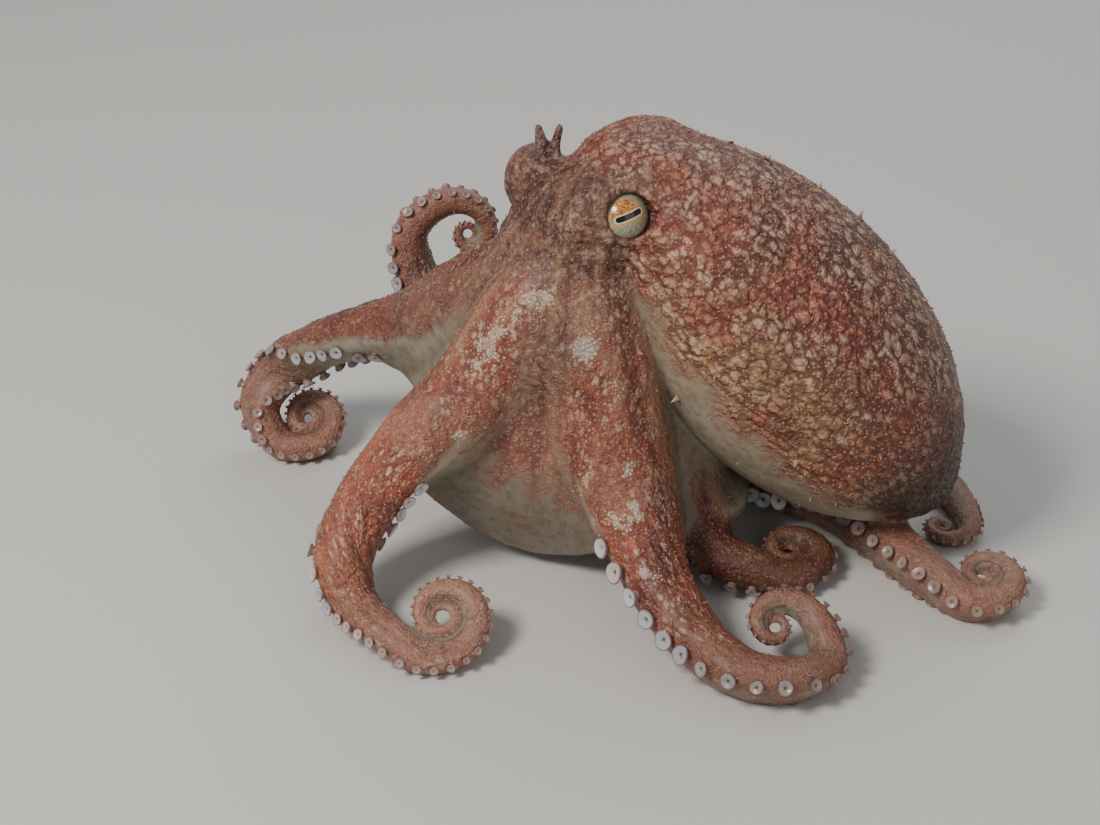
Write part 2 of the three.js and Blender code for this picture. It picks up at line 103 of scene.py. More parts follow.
ARMS = {
 "L1": dict(W=14, slope=0.0685, ctrl=[(10,-5,97,.3,.2,-1),(-4.4,-8,90.9,.7,.1,-.8),(-25.4,-14,64.5,.5,0,-1),(-43.3,-20,48.9,.3,0,-1),
     (-58.6,-27.5,32.5,-.1,0,-1),(-65.4,-40,20,-.5,-.1,-.9),(-62.7,-50,9.3,-.7,-.4,-.7)],
     coil=dict(c=(-33.4,-61.4,12.7),tilt=35,r0=16.4,a0=214,sweep=780,k=0.155,f=0,k2=0,down=.45)),
 "L2": dict(W=15, slope=0.09, ctrl=[(16,-6,95,0,.4,-1),(17,-14,83,-.1,.6,-.8),(18.8,-22,62,-.3,.6,-.8),(22.6,-31,45.2,-.5,.4,-.8),
     (27.2,-42,31.8,-.7,.1,-.8),(33,-56,20.5,-.9,-.2,-.7),(43.5,-72.5,11.5,-.8,-.5,-.7),(58,-87,8.9,-.4,-.9,-.7),(74,-89.5,8.9,.1,-1,-.6)],
     coil=dict(c=(68.8,-70.5,15.4),tilt=35,r0=19.5,a0=322,sweep=600,k=0.18,f=.42,k2=1.2,down=.45)),
 "L3": dict(W=13, slope=0.09, ctrl=[(18,-2,94,0,.5,-1),(30,0,78,-.4,.3,-1),(38,-1,54,-.5,.2,-1),(43,-12,29,-.4,.2,-1),
     (47.8,-21,18,-.3,0,-1),(55,-28.5,12.5,-.2,0,-1),(66,-32.5,10.1,-.1,-.1,-1)],
     coil=dict(c=(78.5,-19,8.2),tilt=8,r0=13.4,a0=268,sweep=660,k=0.2,f=0,k2=0,down=1.2)),
 "L4": dict(W=12.5, slope=0.1, ctrl=[(21,3,94,-.3,.2,-1),(36,9,78,-.6,.1,-1),(48,16,53,-.7,0,-.8),(58,16,29,-.5,-.2,-.9),
     (74,18,13,-.3,-.5,-.9),(92,9,11,-.5,-.6,-.6),(105,-8,11,-.75,-.45,-.4),(115,-26,10.5,-.8,-.4,-.4),(125,-41,9.5,-.7,-.6,-.4)],
     coil=dict(c=(139,-36,10),tilt=12,r0=14,a0=238,sweep=630,k=0.21,f=0,k2=0,down=.5)),
 "R1": dict(W=14, slope=0.0755, ctrl=[(6,4,97,.5,0,-1),(-19.5,18,85.4,.4,-.1,-1),(-40.6,36,64.6,.2,-.35,-1),(-62.8,52,51.5,0,-.6,-1),
     (-82.6,62,40.5,-.3,-.5,-1),(-98.1,66,28.6,-.6,-1,.2),(-105,59.4,17.8,-.6,-.8,-.3)],
     coil=dict(c=(-87.9,61.6,12.4),tilt=35,r0=14.8,a0=226,sweep=750,k=0.175,f=0,k2=0,down=.4)),
 "R2": dict(W=13, slope=0.0955, ctrl=[(6,8,95,.2,-.5,-1),(-7,27,82,.1,-.4,-1),(-22,48,62,-.2,0,-1),(-37,65,54,-.8,.1,-.8),(-48,76,62,-1,.1,-.2)],
     coil=dict(c=(-29,80,77.5),tilt=76,r0=21.5,a0=180,sweep=-630,k=0.18,f=.44,k2=.9,down=0)),
 "R3": dict(W=12, slope=0.083, ctrl=[(12,9,94,0,-.5,-1),(15,28,79,0,-.4,-1),(15,50,51,0,-.3,-1),(8,74,21,.2,-.4,-1),(-6,93,8.2,.3,.1,-1),(-24,104,7.2,.1,.5,-1)],
     coil=dict(c=(-31,88,6.8),tilt=6,r0=15,a0=98,sweep=720,k=0.19,f=0,k2=0,down=1)),
 "R4": dict(W=12, slope=0.08, ctrl=[(18,8,94,-.2,-.3,-1),(33,23,77,-.4,-.3,-1),(51,40,49,-.4,-.3,-1),(72,52,19,-.3,-.2,-1),
     (96,54,8.1,0,0,-1),(121,44,7.1,.2,.1,-1),(138,24,6.2,.4,0,-1),(142,6,5.4,.6,-.3,-1)],
     coil=dict(c=(133,0,5.1),tilt=6,r0=9,a0=350,sweep=-600,k=0.22,f=0,k2=0,down=.8)),
}
WEB_RISE = (-0.7, -0.1)
FLUSH = {("L1", "L2"): (-0.9, -0.45, 3.4)}   # this one lies flush with the backs of its arms
WEB_T, WEB_TOP, WEB_SAG = 3.0, 0.02, 2.2
WEBS = {("L1","L2"): ((.32,.34),(-11,-15,8)), ("L2","L3"): ((.38,.4),(43,-31,25)), ("L3","L4"): ((.42,.34),(63,-16,22)),
        ("L4","R4"): ((.32,.32),(58,27,24)), ("R4","R3"): ((.34,.36),(34,52,22)), ("R3","R2"): ((.36,.36),(-3,56,34)),
        ("R2","R1"): ((.4,.34),(-24,44,46)), ("R1","L1"): ((.42,.4),(-33,10,36))}

# ------------------------------------------------------------------ curves
def unit(v):
    v = np.asarray(v, float)
    return v / np.maximum(np.linalg.norm(v, axis=-1, keepdims=True), 1e-12)

def coil_points(c):
    t = math.radians(c["tilt"])
    e1, e2 = np.array([1., 0, 0]), np.array([0, math.cos(t), math.sin(t)])
    n = max(2, int(math.floor(abs(c["sweep"]) / 30 + .5)))
    P, O = [], []
    for i in range(n + 1):
        x = math.radians(c["sweep"] * i / n)
        f, p = math.radians(c["a0"]) + x, abs(x)
        r = c["r0"] * ((1 - c["f"]) * math.exp(-c["k"] * p) + c["f"] * math.exp(-c["k2"] * p))
        d = e1 * math.cos(f) + e2 * math.sin(f)
        P.append(np.array(c["c"]) + d * r)
        O.append(unit(d + np.array([0, 0, -c["down"]])))
    return P, O

def centripetal(P, sub):
    """points of a centripetal Catmull-Rom curve through P, sub to a span"""
    P = np.asarray(P, float)
    Q = np.vstack([2 * P[0] - P[1], P, 2 * P[-1] - P[-2]])
    out = []
    for i in range(1, len(Q) - 2):
        p0, p1, p2, p3 = Q[i-1:i+3]
        d = [max(np.linalg.norm(b - a), 1e-6) ** .5 for a, b in ((p0, p1), (p1, p2), (p2, p3))]
        t0, t1 = 0., d[0]; t2 = t1 + d[1]; t3 = t2 + d[2]
        t = np.linspace(t1, t2, sub, endpoint=False)[:, None]
        A1 = (t1-t)/(t1-t0)*p0 + (t-t0)/(t1-t0)*p1
        A2 = (t2-t)/(t2-t1)*p1 + (t-t1)/(t2-t1)*p2
        A3 = (t3-t)/(t3-t2)*p2 + (t-t2)/(t3-t2)*p3
        B1 = (t2-t)/(t2-t0)*A1 + (t-t0)/(t2-t0)*A2
        B2 = (t3-t)/(t3-t1)*A2 + (t-t1)/(t3-t1)*A3
        out.append((t2-t)/(t2-t1)*B1 + (t-t1)/(t2-t1)*B2)
    out.append(Q[-2][None])
    return np.vstack(out)

class Arm:
    """an arm as a table every DS mm along it: place p, tangent t, sucker side o, sideways b, half width w"""
    DS = 0.5
    def __init__(s, name, A):
        s.name = name
        K = [np.array(q[:3], float) for q in A["ctrl"]]
        O = [unit(q[3:]) for q in A["ctrl"]]
        kp, ko = coil_points(A["coil"])
        s.coil_from = len(K)
        K += kp; O += ko
        SUB = 16
        D = centripetal(K, SUB)
        w = (np.arange(len(D)) / SUB)
        j = np.minimum(len(K) - 2, w.astype(int)); f = (w - j)[:, None]
        O = np.array(O)
        O = unit(O[j] * (1 - f) + O[j + 1] * f)
        S = np.concatenate([[0], np.cumsum(np.linalg.norm(np.diff(D, axis=0), axis=1))])
        s.L = S[-1]
        s.s = np.linspace(0, s.L, int(s.L / s.DS) + 1)
        s.p = np.stack([np.interp(s.s, S, D[:, k]) for k in range(3)], 1)
        o = np.stack([np.interp(s.s, S, O[:, k]) for k in range(3)], 1)
        s.t = unit(np.gradient(s.p, axis=0))
        k = 5
        for _ in range(2):
            tt = np.pad(s.t, ((k, k), (0, 0)), mode="edge")
            s.t = unit(np.stack([np.convolve(tt[:, i], np.ones(2*k+1)/(2*k+1), mode="valid") for i in range(3)], 1))
        s.o = unit(o - (o * s.t).sum(1, keepdims=True) * s.t)
        s.b = np.cross(s.t, s.o)
        m = A["slope"] * (s.L - s.s + BLUNT[0] * (1 - np.exp((s.s - s.L) / BLUNT[1])))
        s.w = m / (1 + (m / A["W"]) ** 4) ** .25 + TIP
    def at(s, q, what):
        q = np.clip(np.asarray(q, float), 0, s.L)
        v = getattr(s, what)
        if v.ndim == 1:
            return np.interp(q, s.s, v)
        return np.stack([np.interp(q, s.s, v[:, k]) for k in range(3)], -1)

ARM = {n: Arm(n, A) for n, A in ARMS.items()}
ORDER = ["L1", "L2", "L3", "L4", "R4", "R3", "R2", "R1"]

# ------------------------------------------------------------------ closed meshes for the distance fields
def section(th):
    """outline of an arm for angle th from its side: sideways and towards the suckers, in half widths"""
    c, s_ = np.cos(th), np.sin(th)
    x = np.sign(c) * np.abs(c) ** .92
    y = np.where(s_ > 0, .74 * np.abs(s_) ** .8 - .05 * np.exp(-(c / .3) ** 2), -.95 * np.abs(s_))
    return x, y

def tube(arm, s0, s1, step=1.5, n=28):
    q = np.linspace(s0, s1, max(3, int((s1 - s0) / step)))
    th = np.linspace(0, 2 * np.pi, n, endpoint=False)
    x, y = section(th)
    p, o, b, w = arm.at(q, "p"), arm.at(q, "o"), arm.at(q, "b"), arm.at(q, "w")
    P = p[:, None] + (b[:, None] * x[None, :, None] + o[:, None] * y[None, :, None]) * w[:, None, None]
    m = len(q)
    V = np.vstack([P.reshape(-1, 3), p[:1], p[-1:] + arm.at(q[-1:], "t") * w[-1]])
    i = np.arange(m - 1)[:, None] * n; j = np.arange(n)[None]; k = (j + 1) % n
    quads = np.stack([i + j, i + k, i + n + k, i + n + j], -1).reshape(-1, 4)
    jj = np.arange(n); kk = (jj + 1) % n
    t0 = np.stack([np.full(n, m * n), kk, jj], 1)
    t1 = np.stack([np.full(n, m * n + 1), (m - 1) * n + jj, (m - 1) * n + kk], 1)
    T = np.vstack([quads[:, [0, 1, 2]], quads[:, [0, 2, 3]], t0, t1])
    return V, T

def orient(V, T):
    a, b, c = V[T[:, 0]], V[T[:, 1]], V[T[:, 2]]
    return T if (np.cross(a, b) * c).sum() > 0 else T[:, ::-1]

def sphere_grid(n=48, m=32):
    """unit sphere as directions about +Z and triangles"""
    ph = np.linspace(0, np.pi, m + 1)[1:-1]; th = np.linspace(0, 2 * np.pi, n, endpoint=False)
    D = np.stack([np.sin(ph)[:, None] * np.cos(th), np.sin(ph)[:, None] * np.sin(th), np.cos(ph)[:, None] * np.ones(n)], -1).reshape(-1, 3)
    D = np.vstack([D, [[0, 0, 1], [0, 0, -1]]]); r = m - 1
    i = np.arange(r - 1)[:, None] * n; j = np.arange(n)[None]; k = (j + 1) % n
    q = np.stack([i + j, i + n + j, i + n + k, i + k], -1).reshape(-1, 4)
    jj = np.arange(n); kk = (jj + 1) % n
    T = np.vstack([q[:, [0, 1, 2]], q[:, [0, 2, 3]], np.stack([np.full(n, r * n), jj, kk], 1), np.stack([np.full(n, r * n + 1), (r - 1) * n + kk, (r - 1) * n + jj], 1)])
    return D, T

M_AX = np.array([math.cos(math.radians(MANTLE["pitch"])) * math.cos(math.radians(MANTLE["yaw"])),
                 math.cos(math.radians(MANTLE["pitch"])) * math.sin(math.radians(MANTLE["yaw"])), -math.sin(math.radians(MANTLE["pitch"]))])
M_LAT = unit(np.cross([0, 0, 1.], M_AX)); M_UP = np.cross(M_AX, M_LAT)

def mantle_mesh():
    D, T = sphere_grid(96, 64)
    M = MANTLE
    ph = np.arccos(np.clip(D[:, 2], -1, 1)); ps = np.arctan2(D[:, 1], D[:, 0])
    s, c = np.sin(ph), np.cos(ph)
    r = s ** M["full"] * (1 + M["egg"] * c)
    V = (np.array(M["c"]) + (M["a"] * c)[:, None] * M_AX + (M["drop"] * s * s - M["stoop"] * np.maximum(0, -c) ** 4 + M["b"] * r * np.cos(ps))[:, None] * M_UP
         + (M["l"] * r * np.sin(ps))[:, None] * M_LAT)
    return V, orient(V, T)

def web_mesh(A, B, ends, hang, nu=26, nv=36):
    rise = FLUSH.get((A.name, B.name), WEB_RISE + (WEB_SAG,))
    def side(T, e, u):
        q = (WEB_TOP + (e - WEB_TOP) * u) * T.L
        return T.at(q, "p") + T.at(q, "o") * (T.at(q, "w") * (rise[0] + (rise[1] - rise[0]) * u))[..., None]
    def surf(u, v):
        a, b = side(A, ends[0], u), side(B, ends[1], u)
        k = (u ** rise[2])[..., None]; v = v[..., None]
        mid = (a + b) / 2 * (1 - k) + np.array(hang, float) * k
        c = mid * 2 - (a + b) / 2
        return a * (1 - v) ** 2 + c * 2 * v * (1 - v) + b * v * v
    U, W = np.meshgrid(np.linspace(0, 1, nu), np.linspace(0, 1, nv), indexing="ij")
    e = 1e-3; u0, v0 = np.clip(U, e, 1 - e), np.clip(W, e, 1 - e)
    n = unit(np.cross(surf(u0 + e, v0) - surf(u0 - e, v0), surf(u0, v0 + e) - surf(u0, v0 - e)))
    P = surf(U, W)
    top, bot = P + n * WEB_T / 2, P - n * WEB_T / 2
    V = np.vstack([top.reshape(-1, 3), bot.reshape(-1, 3)]); N = nu * nv
    i = np.arange(nu - 1)[:, None] * nv; j = np.arange(nv - 1)[None]
    q = np.stack([i + j, i + nv + j, i + nv + j + 1, i + j + 1], -1).reshape(-1, 4)
    T = [q[:, [0, 1, 2]], q[:, [0, 2, 3]], N + q[:, [0, 2, 1]], N + q[:, [0, 3, 2]]]
    rim = np.concatenate([np.arange(nv - 1), np.arange(nu - 1) * nv + nv - 1, (nu - 1) * nv + np.arange(nv - 1, 0, -1), np.arange(nu - 1, 0, -1) * nv])
    r2 = np.roll(rim, -1)
    T += [np.stack([rim, r2, N + r2], 1), np.stack([rim, N + r2, N + rim], 1)]
    T = np.vstack(T)
    return V, orient(V, T), (surf, n)

# ------------------------------------------------------------------ distance fields
BAND = 7.0
LO = np.array(cad_box[0]) * 1000 - SHIFT - 5
HI = np.array(cad_box[1]) * 1000 - SHIFT + 5
N = np.ceil((HI - LO) / VOX).astype(int) + 1
AX = [(LO[k] + VOX * np.arange(N[k])).astype(np.float32) for k in range(3)]
XF = vdb.createLinearTransform(voxelSize=VOX)

def span(lo, hi, pad=BAND):
    a = np.clip(np.floor((np.asarray(lo) - pad - LO) / VOX).astype(int), 0, N - 1)
    b = np.clip(np.ceil((np.asarray(hi) + pad - LO) / VOX).astype(int) + 1, 1, N)
    return tuple(slice(int(i), int(j)) for i, j in zip(a, b))

def local(sl):
    return AX[0][sl[0]][:, None, None], AX[1][sl[1]][None, :, None], AX[2][sl[2]][None, None, :]

def field(V, T):
    """signed distance to a closed mesh, on its part of the grid, cut off at BAND"""
    sl = span(V.min(0), V.max(0))
    g = vdb.FloatGrid.createLevelSetFromPolygons(np.ascontiguousarray(V - LO, dtype=np.float32), triangles=np.ascontiguousarray(T, dtype=np.uint32),
                                                 transform=XF, halfWidth=BAND / VOX)
    a = np.empty([k.stop - k.start for k in sl], np.float32)
    g.copyToArray(a, ijk=tuple(k.start for k in sl))
    return a, sl

def smin(a, b, k):
    h = np.maximum(k - np.abs(a - b), 0)
    return np.minimum(a, b) - h * h / (4 * k)

def ramp(x, a, b):
    t = np.clip((x - a) / (b - a), 0, 1)
    return t * t * (3 - 2 * t)

def dist(sl, c):
    x, y, z = local(sl)
    return np.sqrt((x - c[0]) ** 2 + (y - c[1]) ** 2 + (z - c[2]) ** 2)

def capsule(sl, a, b, ra, rb):
    x, y, z = local(sl)
    a, b = np.array(a, float), np.array(b, float); d = b - a
    t = np.clip(((x - a[0]) * d[0] + (y - a[1]) * d[1] + (z - a[2]) * d[2]) / (d @ d), 0, 1)
    return np.sqrt((x - a[0] - t * d[0]) ** 2 + (y - a[1] - t * d[1]) ** 2 + (z - a[2] - t * d[2]) ** 2) - (ra + (rb - ra) * t)

G = np.full(N, BAND, np.float32)
FIELDS = {}
# arms grow together at the crown and lie free of each other further out
for n in ORDER:
    A = ARM[n]
    V, T = tube(A, 0, A.L - .3, 1.0, 48)
    a, sl = field(V, orient(V, T))
    FIELDS["arm_" + n] = (a, sl)
    k = .6 + 7.4 * (1 - ramp(dist(sl, (8, 4, 96)), 26, 62))
    G[sl] = smin(G[sl], a, k)
SURF = {}
for (p, q), (ends, hang) in WEBS.items():
    V, T, sn = web_mesh(ARM[p], ARM[q], ends, hang, 40, 60)
    a, sl = field(V, T)
    FIELDS["web_%s_%s" % (p, q)] = (a, sl)
    SURF["web_%s_%s" % (p, q)] = V
    pa = np.full(a.shape, BAND, np.float32)
    for m in (p, q):
        fa, fs = FIELDS["arm_" + m]
        lo = [max(i.start, j.start) for i, j in zip(sl, fs)]; hi = [min(i.stop, j.stop) for i, j in zip(sl, fs)]
        if all(h > l for l, h in zip(lo, hi)):
            s1 = tuple(slice(l - i.start, h - i.start) for l, h, i in zip(lo, hi, sl)); s2 = tuple(slice(l - i.start, h - i.start) for l, h, i in zip(lo, hi, fs))
            pa[s1] = np.minimum(pa[s1], fa[s2])
    # a web grows out of its own two arms only
    G[sl] = np.minimum(smin(pa, a, 18 - 12 * ramp(dist(sl, (8, 4, 96)), 60, 105)), G[sl])

# head
sl = span((-22, -30, 52), (46, 40, 143))
x, y, z = local(sl)
acc = 0
for c, r in HEAD_LUMPS:
    d = (np.sqrt(((x - c[0]) / r[0]) ** 2 + ((y - c[1]) / r[1]) ** 2 + ((z - c[2]) / r[2]) ** 2) - 1) * min(r)
    acc = acc + np.exp(-2 * np.clip(d, -40, 40) / HEAD_BLEND)
H = (-np.log(acc) * HEAD_BLEND / 2).astype(np.float32)
for c, r in MOUNDS:
    H = smin(H, dist(sl, c) - r, 5)
for a, b, ra, rb in HORNS:
    H = smin(H, capsule(sl, a, b, ra, rb), .5)
FIELDS["head"] = (H, sl)
G[sl] = smin(G[sl], H, .6 + 8.4 * (1 - ramp(dist(sl, (8, 4, 98)), 34, 60)))
# mantle
V, T = mantle_mesh()
M, sm = field(V, T)
for c, r in NAPE:
    M = smin(M, (dist(sm, c) - r).astype(np.float32), 9)
FIELDS["mantle"] = (M, sm)
x, y, z = local(sm)
nape = ramp(z, 112, 124) * (1 - ramp(x, 52, 62))
G[sm] = smin(G[sm], M, .9 + 6.5 * nape)
# funnel
F = FUNNEL
fa, fb = np.array(F["a"], float), np.array(F["b"], float)
sf = span(np.minimum(fa, fb) - 10, np.maximum(fa, fb) + 10)
ff = capsule(sf, fa, fb, F["ra"], F["rb"]).astype(np.float32)
FIELDS["funnel"] = (ff, sf)
fd = unit(fb - fa)
G[sf] = np.maximum(smin(G[sf], ff, 3), -capsule(sf, fb - fd * F["depth"] * .6, fb + fd * 8, F["bore"] * .8, F["bore"]))
# eyes: a round opening with a soft lid, heavier above, and a fold behind
LID = {}
for side, c in EYES.items():
    c = np.array(c, float); ax = unit(EYE_AXIS[side]); flat = unit(np.cross([0, 0, 1.], ax)); up = np.cross(ax, flat)
    se = span(c - 18, c + 18, 2)
    x, y, z = local(se)
    q = (x - c[0]) * ax[0] + (y - c[1]) * ax[1] + (z - c[2]) * ax[2]
    u = (x - c[0]) * flat[0] + (y - c[1]) * flat[1] + (z - c[2]) * flat[2]
    v = (x - c[0]) * up[0] + (y - c[1]) * up[1] + (z - c[2]) * up[2]
    rr = np.sqrt(np.maximum(dist(se, c) ** 2 - q * q, 0)); top = np.clip(v / np.maximum(rr, 1e-3), -1, 1)
    thick = 1.2 + 1. * ramp(top, -.2, .9)
    lid = np.sqrt((rr - 7.6 - .3 * thick) ** 2 + ((q - 3.0 - .5 * ramp(top, 0, 1)) * .8) ** 2) - thick
    g = smin(G[se], lid.astype(np.float32), 2.6)
    right = np.clip(u / np.maximum(rr, 1e-3), -1, 1) * (1 if side == "left" else -1)
    fold = np.sqrt((rr - 10.9) ** 2 + ((q - 2.1) * .9) ** 2) - 1.3 * ramp(right, -.35, .5)
    g = smin(g, fold.astype(np.float32), 1.6)
    g = np.maximum(g, -np.maximum(rr - OPEN - .1 * np.maximum(q - 4.5, 0), -(q - 2.4)))
    G[se] = g
# smooth, and flat where it rests on the floor
for k in range(3):
    s0 = [slice(None)] * 3; s1 = list(s0); s2 = list(s0)
    s0[k], s1[k], s2[k] = slice(None, -2), slice(1, -1), slice(2, None)
    G[tuple(s1)] = (G[tuple(s0)] + 2 * G[tuple(s1)] + G[tuple(s2)]) / 4
G = np.maximum(G, (FLOOR - AX[2])[None, None, :]).astype(np.float32)
G[0] = G[-1] = BAND; G[:, 0] = G[:, -1] = BAND; G[:, :, 0] = G[:, :, -1] = BAND
g = vdb.FloatGrid(BAND)
g.copyFromArray(G, ijk=(0, 0, 0))
g.transform = XF
P, tri, quad = g.convertToPolygons(isovalue=0.0, adaptivity=0.0)
P = np.asarray(P, np.float64) + LO
quad = np.asarray(quad, np.int64)
# the outer surface alone
lab = np.arange(len(P))
for _ in range(400):
    m = lab[quad].min(1)
    new = lab.copy()
    for k in range(4):
        np.minimum.at(new, quad[:, k], m)
    new = new[new]
    if (new == lab).all():
        break
    lab = new
ids, cnt = np.unique(lab, return_counts=True)
keep = lab == ids[cnt.argmax()]
new_id = np.cumsum(keep) - 1
quad = new_id[quad[keep[quad[:, 0]]]]
P = P[keep]

# ------------------------------------------------------------------ noise
def hash3(I, seed):
    h = (I[..., 0] * 73856093) ^ (I[..., 1] * 19349663) ^ (I[..., 2] * 83492791) ^ (seed * 2654435761)
    h = (h ^ (h >> 13)) * 1274126177 & 0x7fffffff
    h = (h ^ (h >> 16)) & 0xffff
    return h / 32767.5 - 1

def noise(P, size, seed=1, octaves=1):
    """smooth noise from -1 to 1, with features of that size"""
    out, amp, tot = 0, 1., 0.
    for o in range(octaves):
        Q = P / size + 17.3 * o; I = np.floor(Q).astype(np.int64); F = Q - I; F = F * F * (3 - 2 * F)
        v = 0
        for i in range(8):
            d = np.array([i & 1, i >> 1 & 1, i >> 2])
            w = np.where(d == 1, F, 1 - F).prod(-1)
            v = v + w * hash3(I + d, seed + o)
        out = out + v * amp; tot += amp; amp *= .55; size /= 2.03
    return out / tot * 1.5

# ------------------------------------------------------------------ what each point of the skin belongs to
def sample(name, Q):
    a, sl = FIELDS[name]
    o = np.array([k.start for k in sl]); X = (Q - LO) / VOX - o
    ok = ((X >= 0) & (X <= np.array(a.shape) - 1.001)).all(1)
    v = np.full(len(Q), BAND, np.float64)
    Y = X[ok]; I = Y.astype(int); F = Y - I; r = 0
    for i in range(8):
        d = np.array([i & 1, i >> 1 & 1, i >> 2]); w = np.where(d == 1, F, 1 - F).prod(-1); J = I + d
        r = r + w * a[J[:, 0], J[:, 1], J[:, 2]]
    v[ok] = r
    return v

def normals(P, quad):
    n = np.cross(P[quad[:, 2]] - P[quad[:, 0]], P[quad[:, 3]] - P[quad[:, 1]])
    out = np.zeros_like(P)
    for k in range(4):
        for c in range(3):
            out[:, c] += np.bincount(quad[:, k], n[:, c], len(P))
    return unit(out)

def spread(v, quad, times):
    """v averaged over neighbouring points"""
    e = np.vstack([quad[:, [0, 1]], quad[:, [1, 2]], quad[:, [2, 3]], quad[:, [3, 0]]])
    cnt = np.bincount(e[:, 0], minlength=len(v)) + np.bincount(e[:, 1], minlength=len(v)) + 1.
    w = v if v.ndim == 2 else v[:, None]
    for _ in range(times):
        o = w.copy()
        for c in range(w.shape[1]):
            o[:, c] += np.bincount(e[:, 0], w[e[:, 1], c], len(v)) + np.bincount(e[:, 1], w[e[:, 0], c], len(v))
        w = o / cnt[:, None]
    return w if v.ndim == 2 else w[:, 0]

NV = len(P)
# outward is the way the field grows
c0 = P[quad[:2000]].mean(1); n0 = unit(np.cross(P[quad[:2000, 2]] - P[quad[:2000, 0]], P[quad[:2000, 3]] - P[quad[:2000, 1]]))
FIELDS["all"] = (G, span(LO, HI, 0))
if (sample("all", c0 + n0 * .8) - sample("all", c0 - n0 * .8)).mean() < 0:
    quad = quad[:, ::-1]
P = P + (spread(P, quad, 1) - P) * .6
NRM = normals(P, quad)

names = ["head", "mantle", "funnel"] + ["arm_" + n for n in ORDER] + list(SURF)
Dn = np.stack([np.abs(sample(n, P)) for n in names], 1)
best = Dn.argmin(1)
Wt = np.exp(-(Dn - Dn.min(1, keepdims=True)) / 1.3)
Wt /= Wt.sum(1, keepdims=True)
col = {n: i for i, n in enumerate(names)}

def nearest(C, Q):
    """index of the closest of points C to each of Q"""
    t = KDTree(len(C))
    for i, p in enumerate(C):
        t.insert(p, i)
    t.balance()
    return np.array([t.find(p)[1] for p in Q], int)

ARMC = {}
for n in ORDER:
    A = ARM[n]; i = np.nonzero(Wt[:, col["arm_" + n]] > .01)[0]
    j = nearest(A.p[::2], P[i]) * 2
    d = P[i] - A.p[j]
    s_ = np.clip(A.s[j] + (d * A.t[j]).sum(1), 0, A.L)
    d = P[i] - A.at(s_, "p"); w = A.at(s_, "w")
    ARMC[n] = dict(i=i, s=s_, x=(d * A.at(s_, "b")).sum(1) / w, y=(d * A.at(s_, "o")).sum(1) / w, w=w)
WEBC = {}
for n, V in SURF.items():
    i = np.nonzero(Wt[:, col[n]] > .01)[0]
    half = len(V) // 2; mid = (V[:half] + V[half:]) / 2; nn = unit(V[:half] - V[half:])
    j = nearest(mid, P[i])
    u, v = (j // 60) / 39., (j % 60) / 59.
    d = P[i] - mid[j]
    # outer side: away from the line under the mouth
    out = np.sign(((mid - np.array([12., 4, 60])) * nn * [1, 1, .3]).sum(1).mean())
    side = (d * nn[j]).sum(1) * out
    WEBC[n] = dict(i=i, u=u, v=v, side=side)
q = P - np.array(MANTLE["c"], float)
m_a, m_u, m_l = (q @ M_AX) / MANTLE["a"], (q @ M_UP) / MANTLE["b"], (q @ M_LAT) / MANTLE["l"]
m_ph = np.arctan2(np.hypot(m_u, m_l), m_a); m_ps = np.arctan2(m_l, m_u)

def put(n, values, base=0.):
    o = np.full(NV, base); o[n["i"]] = values
    return o

# ------------------------------------------------------------------ markings, mm and radius
WHITE = [(-2.7, -19.7, 101.2, 4.5), (-14.4, -20.6, 91.6, 3.5), (-17.3, -21.4, 86.9, 4.5), (-21.1, -22.0, 81.5, 3.5), (-23.6, -22.7, 77.8, 2.5), (10.9, -28.0, 89.6, 4),
         (18.9, -32.1, 75.3, 3.6), (-27.6, -27.6, 59.2, 3.2), (-5.7, -19.5, 49.0, 3), (11.1, -38.8, 49.2, 3.4), (23.8, -42.3, 53.4, 2.6), (20.4, -50.5, 40.8, 4),
         (26.0, -50.0, 43.4, 3), (-50.6, -32.8, 46.7, 2.4), (30.2, -64.8, 29.8, 3.4), (-0.1, -25.1, 73.9, 1.6), (15.4, -36.0, 64.6, 2.2), (-9.2, -20.4, 96.4, 2.5),
         (20, 60, 45, 4), (48, 46, 52, 4), (-30, 46, 64, 3.5), (60, 46, 32, 3), (-60, 54, 54, 3)]
STARS = [(60.6, -36.0, 101.6, 5.5), (77.3, -41.3, 85.2, 4.5), (94.1, -41.2, 72.3, 4), (39.8, -24.3, 117.7, 5), (63.7, -29.5, 114.9, 5), (58.9, -24.1, 122.5, 4.5),
         (46.1, -17.4, 130.0, 4.5), (57.4, -7.6, 135.5, 4), (103.1, -32.2, 88.1, 4), (70.0, -17.4, 125.8, 4.5), (86.0, -37.4, 93.3, 4), (44.7, -27.7, 114.0, 4),
         (89.5, -22.5, 111.6, 3.5), (42.5, -31.5, 90.0, 5), (36.6, -26.2, 107.6, 4),
         (60, 40, 104, 5.5), (78, 45, 85, 5), (62, 26, 122, 4.5), (100, 30, 92, 4.5), (110, 10, 92, 4.5), (46, 36, 100, 4.5), (96, 42, 64, 4.5)]
RED = [(35.2, -7.1, 137.7, 7), (50.1, -21.7, 125.6, 8), (71.6, -29.3, 113.5, 8), (89.2, -31.8, 101.4, 9), (46.9, -32.5, 101.9, 8), (75.0, -19.5, 122.1, 6),
       (66.9, -40.5, 67.2, 9), (95.7, -40.4, 52.8, 12), (107.4, -37.4, 65.4, 12), (27.4, -19.7, 104.4, 4), (18.8, -25.4, 93.8, 7), (3.0, -27.2, 86.0, 12),
       (15.0, -21.7, 102.0, 7), (7.8, -29.7, 71.6, 8), (50, 28, 118, 8), (72, 34, 106, 9), (90, 40, 88, 9), (100, 38, 58, 12), (112, 20, 66, 12)]
